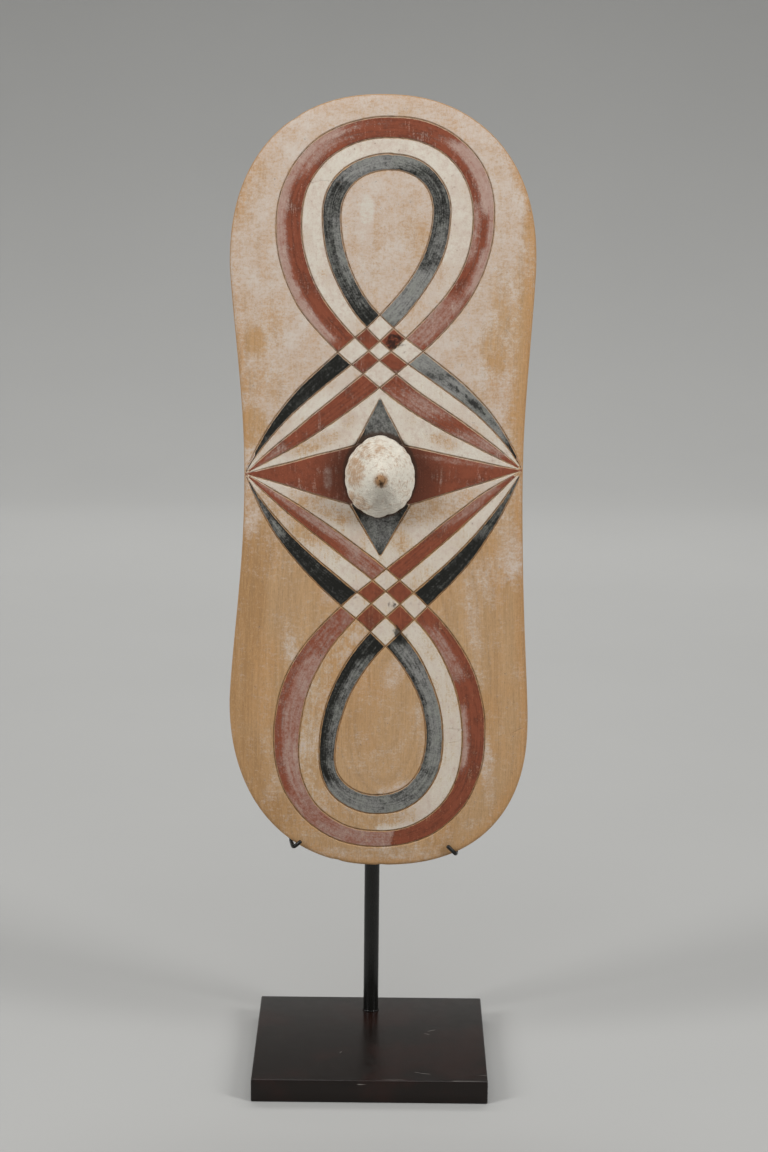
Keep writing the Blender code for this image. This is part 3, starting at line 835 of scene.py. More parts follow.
def face_sheet(outline, grooves, paths):
    """The front of the board as (points, heights, triangles, rim order)."""
    cuts = []
    limit = inward(outline, CUT_STOP)
    for points, taper in paths:
        kept = inside(points, limit)
        points, taper = points[kept], taper[kept]
        across = sideways(points) * (grooves.half * taper)[:, None]
        cuts += [points + across * shift for shift in (-1.0, 0.0, 1.0)]
    loose = grid_points(FACE_PITCH, outline, 11)
    distance, half, _ = grooves.measure(loose)
    loose = loose[distance > half + CUT_CLEARANCE]
    verts, faces, rim, rim_distance = sheet(outline, cuts, loose)
    depth = grooves.measure(verts)[2]
    height = camber_at(rim_distance) - rounded_drop(rim_distance) - depth
    height[rim] = -EDGE_ROUND
    return verts, height, faces, rim


def gouge_marks(points):
    """Long shallow scoops left by the adze, as depths from 0 to 1."""
    rng = np.random.default_rng(5)
    scoop = np.array([GOUGE_WIDTH, GOUGE_LENGTH])
    columns = np.arange(-0.14, 0.14, GOUGE_WIDTH)
    rows = np.arange(-0.35, 0.35, GOUGE_LENGTH)
    seeds = np.array([(x, y) for x in columns for y in rows])
    seeds += rng.uniform(-0.42, 0.42, seeds.shape) * scoop
    tree = tree_of(seeds / scoop)
    depth = []
    for x, y in points / scoop:
        first, second = tree.find_n((x, y, 0.0), 2)
        depth.append(1.0 - first[2] / (second[2] + 1e-6))
    return np.clip(np.array(depth) * 1.6, 0.0, 1.0)


def back_sheet(outline):
    """The back of the board as (points, heights, triangles, rim order)."""
    verts, faces, rim, rim_distance = sheet(outline, [], grid_points(BACK_PITCH, outline, 12))
    marks = gouge_marks(verts) * soft_step(0.002, 0.009, rim_distance)
    height = -EDGE_THICKNESS + rounded_drop(rim_distance) + shield_look().gouge_depth * marks
    height[rim] = -EDGE_THICKNESS + EDGE_ROUND
    return verts, height, faces, rim


def board_mesh():
    """The board: a face and a back that share the outline, joined along the edge."""
    outline = outline_points()
    paths = line_paths()
    grooves = GrooveField(paths)
    bm = bmesh.new()
    rings = []
    for places, heights, faces, rim in (face_sheet(outline, grooves, paths), back_sheet(outline)):
        verts = [bm.verts.new((x, -n, y)) for (x, y), n in zip(places, heights)]
        for a, b, c in faces:
            bm.faces.new((verts[a], verts[b], verts[c]))
        rings.append([verts[i] for i in rim])
    front, back = rings
    for i in range(len(front)):
        bm.faces.new((front[i - 1], front[i], back[i], back[i - 1]))
    loose = [v for v in bm.verts if not v.link_faces]
    bmesh.ops.delete(bm, geom=loose, context="VERTS")
    bmesh.ops.recalc_face_normals(bm, faces=bm.faces)
    return bm, grooves


# The boss and the sleeve

def turned(profile, steps):
    """A round solid, turned about the upright axis from (radius, height) pairs."""
    bm = bmesh.new()
    points = [bm.verts.new((radius, 0.0, height)) for radius, height in profile]
    edges = [bm.edges.new(pair) for pair in zip(points, points[1:])]
    bmesh.ops.spin(
        bm, geom=points + edges, axis=(0.0, 0.0, 1.0), cent=(0.0, 0.0, 0.0),
        angle=2.0 * math.pi, steps=steps, use_merge=True)
    bmesh.ops.remove_doubles(bm, verts=bm.verts, dist=1e-6)
    return bm


def boss_profile():
    """The boss from its buried foot over its rim to its tip, as (share of radius, height)."""
    profile = list(BOSS_FOOT)
    for step in range(BOSS_CONE_STEPS):
        share = step / (BOSS_CONE_STEPS - 1)
        radius = 0.975 * (1.0 - share) ** 0.92 * (1.0 - 0.10 * math.sin(math.pi * share))
        rise = (BOSS_HEIGHT - BOSS_SHOULDER) * (1.0 - (1.0 - share) ** 1.12)
        profile.append((max(radius, 0.0), BOSS_SHOULDER + rise))
    profile[-1] = (0.0, BOSS_HEIGHT)
    return profile


def boss_mesh():
    """A worn, knife-cut cone, a little higher than it is wide."""
    bm = turned([(share * BOSS_HALF_WIDTH, height) for share, height in boss_profile()], 132)
    stretch = BOSS_HALF_HEIGHT / BOSS_HALF_WIDTH
    for vert in bm.verts:
        side, up, out = vert.co
        angle = math.atan2(up, side)
        radius = math.hypot(side, up) / BOSS_HALF_WIDTH
        cut_at = angle * 9.0 + 1.6 * noise.noise(Vector((math.cos(angle), math.sin(angle), 4.0)))
        facet = abs(math.sin(cut_at))
        low = soft_step(0.0, 0.012, out)
        squeeze = float(np.interp(math.degrees(angle) % 360.0, *zip(*BOSS_RIM)))
        squeeze -= 0.020 * (1.0 - facet) * low * soft_step(0.15, 0.8, radius)
        chatter = noise.noise(Vector((side, up, out)) * 210.0) * 0.00045
        dent = noise.noise(Vector((side, up, out)) * 72.0) * 0.0016 * low
        lift = (chatter + dent) * min(1.0, radius * 2.0)
        vert.co = (BOSS_SIDE + side * squeeze, -(out + lift), up * stretch * squeeze)
    tip = Vector((BOSS_SIDE, -BOSS_HEIGHT, 0.0))
    pit = tip + Vector((BOSS_PIT_SHIFT[0], 0.0, BOSS_PIT_SHIFT[1]))
    half_width, half_height, depth = BOSS_PIT
    for vert in bm.verts:
        if (vert.co - tip).length < 0.006:
            away = vert.co - pit
            vert.co.y += depth * math.exp(-((away.x / half_width) ** 2 + (away.z / half_height) ** 2))
    bmesh.ops.recalc_face_normals(bm, faces=bm.faces)
    return bm


def sleeve_mesh():
    """The arched band on the back that the arm goes through."""
    buried = 0.4 * EDGE_THICKNESS
    steps = 48
    outer = []
    inner = []
    for step in range(steps + 1):
        angle = math.pi * step / steps
        across, deep = math.cos(angle), math.sin(angle)
        foot = max(0.0, 1.0 - deep / 0.4) ** 2
        half = 0.5 * SLEEVE_OPENING_HEIGHT + SLEEVE_WALL + SLEEVE_FLARE * foot
        outer.append((half * across, EDGE_THICKNESS + (SLEEVE_OPENING_DEPTH + SLEEVE_WALL) * deep))
        half = 0.5 * SLEEVE_OPENING_HEIGHT
        inner.append((half * across, EDGE_THICKNESS + SLEEVE_OPENING_DEPTH * deep))
    level = EDGE_THICKNESS - buried
    section = [(outer[0][0], level)] + outer + [(outer[-1][0], level)]
    section += [(inner[-1][0], level)] + inner[::-1] + [(inner[0][0], level)]
    bm = bmesh.new()
    half_band = 0.5 * SLEEVE_BAND
    face = bm.faces.new([bm.verts.new((-half_band, deep, up)) for up, deep in section])
    rim = list(face.edges)
    grown = bmesh.ops.extrude_face_region(bm, geom=[face], use_keep_orig=True)
    far = [v for v in grown["geom"] if isinstance(v, bmesh.types.BMVert)]
    rim += [e for e in grown["geom"] if isinstance(e, bmesh.types.BMEdge)]
    bmesh.ops.translate(bm, verts=far, vec=(SLEEVE_BAND, 0.0, 0.0))
    bmesh.ops.recalc_face_normals(bm, faces=bm.faces)
    long_edges = [e for e in bm.edges if e.calc_length() > 0.9 * SLEEVE_BAND]
    bmesh.ops.subdivide_edges(bm, edges=long_edges, cuts=19, use_grid_fill=True)
    rim = [
        e for e in bm.edges
        if all(abs(abs(v.co.x) - half_band) < 1e-6 for v in e.verts)
        and min(v.co.y for v in e.verts) > level + 1e-5 and len(e.link_faces) == 2
        and abs(e.link_faces[0].normal.x) + abs(e.link_faces[1].normal.x) < 1.5
    ]
    bmesh.ops.bevel(
        bm, geom=rim, offset=0.0042, segments=4, profile=0.5, affect="EDGES", material=-1)
    for vert in bm.verts:
        if vert.co.y > EDGE_THICKNESS + 0.002:
            wave = noise.noise(vert.co * 55.0) * 0.0008
            outwards = Vector((0.0, vert.co.y - EDGE_THICKNESS, vert.co.z)).normalized()
            vert.co += outwards * (wave - 0.0006)
    bmesh.ops.recalc_face_normals(bm, faces=bm.faces)
    return bm


# Pieces

def object_from(bm, name):
    """Turn a bmesh into an object in the scene."""
    mesh = bpy.data.meshes.new(name)
    bm.to_mesh(mesh)
    bm.free()
    made = bpy.data.objects.new(name, mesh)
    bpy.context.collection.objects.link(made)
    return made


def join_solid(piece, other):
    """Join another solid to a piece for good."""
    step = piece.modifiers.new(other.name, "BOOLEAN")
    step.operation = "UNION"
    step.object = other
    step.solver = "EXACT"
    graph = bpy.context.evaluated_depsgraph_get()
    joined = bpy.data.meshes.new_from_object(piece.evaluated_get(graph))
    piece.modifiers.clear()
    old = piece.data
    piece.data = joined
    bpy.data.meshes.remove(old)
    bpy.data.objects.remove(other, do_unlink=True)


def smooth_shading(piece, angle=32.0):
    """Round faces shade smooth, real edges stay sharp."""
    piece.data.shade_smooth()
    piece.data.set_sharp_from_angle(angle=math.radians(angle))


def stands_for(piece, node):
    """Place a piece in the frame: what it rides on and what it stands for."""
    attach(piece, "root")
    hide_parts(node)


def shield_origin():
    """The middle of the star, on the plane of the face's edge."""
    half_height = 0.5 * SLEEVE_OPENING_HEIGHT + SLEEVE_WALL
    depth = SLEEVE_OPENING_DEPTH + SLEEVE_WALL
    reach = math.hypot(half_height * math.sin(LEAN), depth * math.cos(LEAN))
    reach += EDGE_THICKNESS * math.cos(LEAN)
    back = UPRIGHT_SETBACK - UPRIGHT_RADIUS - CLEARANCE - reach
    return Vector((SHIELD_SIDE_SHIFT, back, SHIELD_LIFT + END_LOW * math.cos(LEAN)))


def shield_place():
    """The matrix that leans the board and lifts it into the hooks."""
    return Matrix.Translation(shield_origin()) @ Matrix.Rotation(-LEAN, 4, "X")


def on_shield(side, out, up):
    """A point given along, out of and up the board, in the frame of the stand."""
    return shield_place() @ Vector((side, -out, up))


# What lies where on the face

def patches(points, spots):
    """The strongest of a list of soft oval patches at each point."""
    total = np.zeros(len(points))
    for side, height, wide, high, turn, amount in spots:
        angle = math.radians(turn)
        x = points[:, 0] / MM - side
        y = points[:, 1] / MM - height
        across = (x * math.cos(angle) + y * math.sin(angle)) / wide
        along = (-x * math.sin(angle) + y * math.cos(angle)) / high
        reach = np.sqrt(across**2 + along**2)
        total = np.maximum(total, amount * soft_step(1.35, 0.45, reach))
    return total


def brush_marks(points, marks):
    """The strongest of a list of marks with four straight, slightly slanting ends."""
    total = np.zeros(len(points))
    x, y = points[:, 0] / MM, points[:, 1] / MM
    for left, right, low, high, soft, amount in marks:
        slant = x - 0.25 * (y - low)
        inner = soft_step(left - 9.0 * soft, left, slant) * soft_step(right + soft, right - soft, slant)
        inner *= soft_step(low - soft, low + soft, y) * soft_step(high + soft, high - soft, y)
        total = np.maximum(total, amount * inner)
    return total


def stretches(points, stripes, spots):
    """The strongest of a list of worn stretches of the stripes at each point."""
    total = np.zeros(len(points))
    height = points[:, 1] / MM
    for way, arm, stripe, start, end, across, half, amount in spots:
        low, high = min(start, end), max(start, end)
        own = (stripes["way"] == way) & (stripes["arm"] == arm) & (stripes["stripe"] == stripe)
        window = soft_step(low - 8.0, low + 8.0, height) * soft_step(high + 8.0, high - 8.0, height)
        lateral = soft_step(1.45, 0.55, np.abs(stripes["across"] - across) / half)
        total = np.maximum(total, amount * window * lateral * own)
    return total


def arm_area(loop, line, side):
    """The area on the inner side of a half line, closed through the loop's inmost top."""
    crown = np.array([loop["top_side"], loop["way"] * loop["tops"][3]])
    return np.concatenate([half_line(loop, line, side), crown[None, :]])


def band_of(loop, points):
    """For each point of one half: the stripe it is in, and which arm carries it.

    A stripe is 0, 1 or 2 counted from the outer line; -1 is none. The arm is -1 where the
    band's left flank carries the stripe, 1 where its right flank does, and 0 in the
    chequered crossing, where the stripe is the sum of both arms' stripes.
    """
    own = points * np.array([1.0, loop["way"]])
    counts = {}
    for side in (-1, 1):
        total = np.zeros(len(points), dtype=int)
        for line in range(4):
            total += inside(points, arm_area(loop, line, side))
        counts[side] = total
    in_arm = {side: (counts[side] >= 1) & (counts[side] <= 3) for side in (-1, 1)}
    fork = np.array([loop["crossing_side"], loop["crossing_heights"][3]])
    crown = np.array([loop["top_side"], loop["tops"][3]])
    share = (own[:, 1] - fork[1]) / (crown[1] - fork[1])
    middle = fork[0] + (crown[0] - fork[0]) * np.clip(share, 0.0, 1.0)
    above = own[:, 1] > fork[1]
    left = own[:, 0] < middle
    in_arm[-1] &= ~above | left
    in_arm[1] &= ~above | ~left
    stripe = np.full(len(points), -1)
    arm = np.zeros(len(points), dtype=int)
    for side in (-1, 1):
        stripe = np.where(in_arm[side], counts[side] - 1, stripe)
        arm = np.where(in_arm[side], side, arm)
    both = in_arm[-1] & in_arm[1]
    stripe = np.where(both, counts[-1] + counts[1] - 2, stripe)
    return stripe, np.where(both, 0, arm), both


def between_lines(points):
    """The field round the star, bounded by the outer lines of both loops' tails."""
    tails = []
    for loop in LOOPS:
        crossing = np.array([loop["crossing_side"], loop["way"] * loop["crossing_heights"][0]])
        for side in (1, -1):
            line = half_line(loop, 0, side)
            at_crossing = int(np.argmin(np.linalg.norm(line - crossing, axis=1)))
            tails.append(line[at_crossing:])
    upper_left, upper_right, lower_left, lower_right = tails
    ring = np.concatenate([
        upper_left[::-1], upper_right[1:], lower_right[::-1], lower_left[1:]])
    return inside(points, ring)


def pigment_map(points):
    """Which pigment each point of the face carries, and where it is in its stripe."""
    count = len(points)
    pigment = np.full(count, "bare", dtype=object)
    stripes = {
        "way": np.where(points[:, 1] > 0.0, 1, -1), "arm": np.zeros(count, dtype=int),
        "stripe": np.full(count, -1), "across": np.full(count, 0.5), "along": np.zeros(count),
    }
    for loop in LOOPS:
        half = stripes["way"] == loop["way"]
        stripe, arm, both = band_of(loop, points)
        for number, name in PIGMENT_OF_STRIPE.items():
            pigment[half & ~both & (stripe == number)] = name
        pigment[half & both & (stripe % 2 == 0)] = "white"
        pigment[half & both & (stripe % 2 == 1)] = "red"
        for side in (-1, 1):
            lines = [half_line(loop, line, side) for line in range(4)]
            for number in range(3):
                chosen = np.nonzero(half & ~both & (stripe == number) & (arm == side))[0]
                if not len(chosen):
                    continue
                outer, along = nearest_on_line(lines[number], points[chosen])
                inner, _ = nearest_on_line(lines[number + 1], points[chosen])
                stripes["arm"][chosen] = side
                stripes["stripe"][chosen] = number
                stripes["along"][chosen] = along
                stripes["across"][chosen] = outer / (outer + inner + 1e-9)
    field = between_lines(points) & (pigment == "bare")
    pigment[field] = "white"
    in_star = inside(points, star_outline())
    pigment[in_star] = "red"
    for end in ("top", "low"):
        arm_outline = [STAR_TIPS[end], STAR_CORNERS[end + "_left"], STAR_CORNERS[end + "_right"]]
        pigment[in_star & inside(points, np.array(arm_outline))] = "black"
    return pigment, stripes


def wash_amount(points, rim_distance):
    """How thick the pale wash lies: heavy on the upper half, thin below."""
    height = points[:, 1] / MM
    amount = 0.08 + 0.78 * soft_step(-70.0, 10.0, height)
    margin = soft_step(0.0, 0.012, rim_distance) * 0.5 + 0.5
    left_flank = (points[:, 0] < 0.0) * soft_step(90.0, 130.0, height)
    unrubbed = np.maximum(soft_step(225.0, 275.0, height), 0.9 * left_flank)
    amount *= margin + (1.0 - margin) * unrubbed
    amount = np.maximum(amount, patches(points, WASH_PATCHES))
    return np.clip(amount - patches(points, BARE_PATCHES), 0.0, 1.6)


def chalk_amount(points, stripes):
    """How much of the chalk white is left."""
    amount = 0.75 + 0.14 * soft_step(-60.0, 60.0, points[:, 1] / MM)
    amount -= patches(points, WORN_CHALK_PATCHES)
    return np.clip(amount - stretches(points, stripes, WORN_CHALK_STRETCHES), 0.0, 1.0)


def paint_fields(mesh, grooves):
    """Write what lies where on the shield: pigments, wash, wear and the lines."""
    count = len(mesh.vertices)
    places = np.empty(count * 3)
    mesh.vertices.foreach_get("co", places)
    places = places.reshape(-1, 3)
    points = places[:, [0, 2]]
    out = -places[:, 1]
    rim_distance = from_rim(outline_points(), points)
    distance, half, _ = grooves.measure(points)
    distance = distance + 1.1 * (grooves.half - half)
    on_face = out > -0.5 * EDGE_ROUND
    pigment, stripes = pigment_map(points)
    grey = np.maximum(patches(points, GREY_PATCHES), stretches(points, stripes, GREY_STRETCHES))
    pink = np.maximum(patches(points, PINK_PATCHES), stretches(points, stripes, PINK_STRETCHES))
    oval = np.array([BOSS_HALF_WIDTH, BOSS_HALF_HEIGHT])
    fields = {
        "line": np.where(on_face, distance, OFF_FACE) / MM,
        "rim": rim_distance / MM,
        "wash": np.where(on_face, wash_amount(points, rim_distance), 0.0),
        "chalk": chalk_amount(points, stripes),
        "grey": 0.85 * grey,
        "pink": np.maximum(pink, brush_marks(points, PINK_BRUSH_MARKS)),
        "soot": np.where(on_face, patches(points, SOOT_PATCHES), -1.0),
        "handled": np.where(on_face, patches(points, HANDLED_PATCHES), 0.0),
        "tan": patches(points, BOSS_TAN_PATCHES),
        # How far out from the boss's oval each point lies; the painted shadows round the boss follow it
        "foot": np.linalg.norm((points - np.array([BOSS_SIDE, 0.0])) / oval, axis=1),
    }
    for name in PIGMENT_OF_STRIPE.values():
        signed = np.where(pigment == name, distance, -distance)
        fields[name] = np.where(on_face, signed, -OFF_FACE) / MM
    for name, values in fields.items():
        layer = mesh.attributes.new(name, "FLOAT", "POINT")
        layer.data.foreach_set("value", np.ascontiguousarray(values, dtype=np.float32))
    stroke = np.stack([stripes["along"], stripes["across"], stripes["stripe"]], axis=1)
    layer = mesh.attributes.new("stroke", "FLOAT_VECTOR", "POINT")
    layer.data.foreach_set("vector", np.ascontiguousarray(stroke, dtype=np.float32).ravel())


def uneven(mesh, amount):
    """Lift and sink the board a little, as hand work leaves it."""
    for vert in mesh.vertices:
        broad = noise.noise(vert.co * 17.0)
        small = noise.noise(vert.co * 48.0 + Vector((5.0, 0.0, 0.0)))
        vert.co.y += amount * (broad + 0.35 * small)
        sway = noise.noise(vert.co * 11.0 + Vector((0.0, 9.0, 0.0)))
        vert.co.x += amount * sway
        for side, height, radius, depth in NICKS:
            away = math.hypot(vert.co.x - side, vert.co.z - height) / radius
            if away < 1.0:
                pull = depth * (1.0 - away * away)
                vert.co.z += pull * (-1.0 if vert.co.z > 0 else 1.0)
                vert.co.x -= pull * 0.3 * math.copysign(1.0, vert.co.x)


# Materials

class Recipe:
    """A short way to write a node material."""

    def __init__(self, name):
        self.material = bpy.data.materials.new(name)
        self.material.use_nodes = True
        self.tree = self.material.node_tree
        self.shader = self.tree.nodes["Principled BSDF"]

    def feed(self, socket, value):
        """Link a socket, or set it to a constant."""
        if isinstance(value, bpy.types.NodeSocket):
            self.tree.links.new(value, socket)
        elif socket.type == "RGBA":
            socket.default_value = (*value, 1.0)
        else:
            socket.default_value = value

    def node(self, kind, **settings):
        made = self.tree.nodes.new(kind)
        for name, value in settings.items():
            setattr(made, name, value)
        return made

    def attribute(self, name, vector=False):
        made = self.node("ShaderNodeAttribute", attribute_name=name)
        return made.outputs["Vector" if vector else "Fac"]

    def place(self, shift=(0.0, 0.0, 0.0), turn=(0.0, 0.0, 0.0), stretch=(1.0, 1.0, 1.0), of=None):
        """Object coordinates, or another vector, moved, turned and stretched."""
        made = self.node("ShaderNodeMapping")
        if of is None:
            of = self.node("ShaderNodeTexCoord").outputs["Object"]
        self.feed(made.inputs["Vector"], of)
        made.inputs["Location"].default_value = shift
        made.inputs["Rotation"].default_value = turn
        made.inputs["Scale"].default_value = stretch
        return made.outputs["Vector"]

    def noise(self, vector, scale, detail, rough):
        made = self.node("ShaderNodeTexNoise")
        self.feed(made.inputs["Vector"], vector)
        made.inputs["Scale"].default_value = scale
        made.inputs["Detail"].default_value = detail
        made.inputs["Roughness"].default_value = rough
        return made.outputs["Fac"]

    def sum(self, operation, a, b=0.0, c=0.0):
        """Any of the plain sums that the maths node knows."""
        made = self.node("ShaderNodeMath", operation=operation)
        for socket, value in zip(made.inputs, (a, b, c)):
            self.feed(socket, value)
        return made.outputs[0]

    def wave(self, value):
        """A noise value moved and widened to swing about zero."""
        return self.sum("MULTIPLY_ADD", value, 2.0, -1.0)

    def add(self, value, *parts):
        """A value and any number of (value, weight) pairs added up."""
        for part, weight in parts:
            value = self.sum("MULTIPLY_ADD", part, weight, value)
        return value

    def split(self, vector):
        made = self.node("ShaderNodeSeparateXYZ")
        self.feed(made.inputs[0], vector)
        return made.outputs[0], made.outputs[1], made.outputs[2]

    def join(self, x, y):
        made = self.node("ShaderNodeCombineXYZ")
        self.feed(made.inputs["X"], x)
        self.feed(made.inputs["Y"], y)
        return made.outputs[0]

    def length(self, x, y):
        """How far the place (x, y) is from zero."""
        squares = self.sum("ADD", self.sum("MULTIPLY", x, x), self.sum("MULTIPLY", y, y))
        return self.sum("SQRT", squares)

    def rise(self, value, low, high, start=0.0, end=1.0):
        """A smooth step from start to end as a value goes from low to high."""
        made = self.node("ShaderNodeMapRange", interpolation_type="SMOOTHSTEP")
        for name, given in (
                ("Value", value), ("From Min", low), ("From Max", high),
                ("To Min", start), ("To Max", end)):
            self.feed(made.inputs[name], given)
        return made.outputs[0]

    def blend(self, share, a, b):
        """Mix two colours."""
        made = self.node("ShaderNodeMix", data_type="RGBA")
        self.feed(made.inputs["Factor"], share)
        self.feed(made.inputs["A"], a)
        self.feed(made.inputs["B"], b)
        return made.outputs["Result"]

    def bump(self, height, distance, strength=1.0, under=None):
        made = self.node("ShaderNodeBump")
        self.feed(made.inputs["Height"], height)
        made.inputs["Distance"].default_value = distance
        made.inputs["Strength"].default_value = strength
        if under is not None:
            self.feed(made.inputs["Normal"], under)
        return made.outputs["Normal"]

    def finish(self, colour, roughness, normal=None, **constants):
        self.feed(self.shader.inputs["Base Color"], colour)
        self.feed(self.shader.inputs["Roughness"], roughness)
        if normal is not None:
            self.feed(self.shader.inputs["Normal"], normal)
        for name, value in constants.items():
            self.shader.inputs[name.replace("_", " ")].default_value = value
        return self.material


def scaled(colour, factor):
    """A colour made lighter or darker."""
    return tuple(min(1.0, part * factor) for part in colour)


def tinted(colour, tint):
    """A colour with each of its parts scaled by its own factor."""
    return tuple(part * factor for part, factor in zip(colour, tint))


def between(first, second, share):
    """A colour on the way from one to another."""
    return tuple((1.0 - share) * a + share * b for a, b in zip(first, second))


def board_coordinates(recipe):
    """Object coordinates turned upright with the board and centred on its star."""
    origin = Matrix.Rotation(LEAN, 4, "X") @ -shield_origin()
    return recipe.place(shift=tuple(origin), turn=(LEAN, 0.0, 0.0))


def growth_rings(r, board):
    """Rings of a log sawn a little aslant: arcs low on the board, straight lines above."""
    x, _, height = r.split(board)
    sway = r.sum("MULTIPLY", r.sum("SUBTRACT", r.noise(board, 7.0, 2.0, 0.5), 0.5), 0.020)
    x = r.sum("ADD", r.sum("ADD", x, -0.006), sway)
    away = r.sum("MULTIPLY", r.sum("ADD", height, 0.178), 1.0 / 0.090)
    depth = r.sum("EXPONENT", r.sum("MULTIPLY", r.sum("MULTIPLY", away, away), -1.0))
    depth = r.sum("MULTIPLY", r.sum("SUBTRACT", 1.0, depth), 0.050)
    rings = r.join(r.length(x, depth), r.sum("MULTIPLY", height, 0.012))
    return r.noise(rings, 330.0, 3.0, 0.6)


def dry_wood(r, board):
    """Bare wood: growth rings, broad warm areas, long fibres and fine ripples across."""
    look = shield_look()
    rings = growth_rings(r, board)
    fibres = r.noise(r.place(stretch=(1.0, 1.0, 0.045), of=board), 900.0, 4.0, 0.6)
    areas = r.noise(r.place(stretch=(1.0, 1.0, 0.5), of=board), 19.0, 4.0, 0.55)
    ripples = r.noise(r.place(stretch=(0.35, 1.0, 1.0), of=board), 520.0, 3.0, 0.65)
    pores = r.noise(r.place(stretch=(1.0, 1.0, 0.35), of=board), 1100.0, 2.0, 0.7)
    rim = r.sum("ADD", r.attribute("rim"), r.sum("MULTIPLY", areas, 14.0))
    warm = r.sum("MAXIMUM", r.rise(rim, 19.0, 8.0, 0.0, 0.9), r.rise(areas, 0.46, 0.66, 0.0, 0.85))
    colour = r.blend(warm, look.wood, look.wood_warm)
    handled = r.add(r.attribute("handled"), (r.wave(areas), 0.7), (r.wave(rings), 0.25))
    colour = r.blend(r.rise(handled, 0.05, 0.75, 0.0, 0.90), colour, look.wood_handled)
    pale, dark = scaled(look.wood, 1.24), scaled(look.wood, 0.66)
    for grain, low, high, amount, shade in (
            (rings, 0.40, 0.68, 0.34, pale), (rings, 0.48, 0.34, 0.22, dark),
            (fibres, 0.54, 0.34, 0.30, dark), (fibres, 0.52, 0.68, 0.30, pale),
            (pores, 0.54, 0.72, 0.50, pale), (pores, 0.46, 0.30, 0.52, dark),
            (ripples, 0.52, 0.72, 0.22, pale)):
        colour = r.blend(r.rise(grain, low, high, 0.0, amount), colour, shade)
    return colour, fibres, ripples


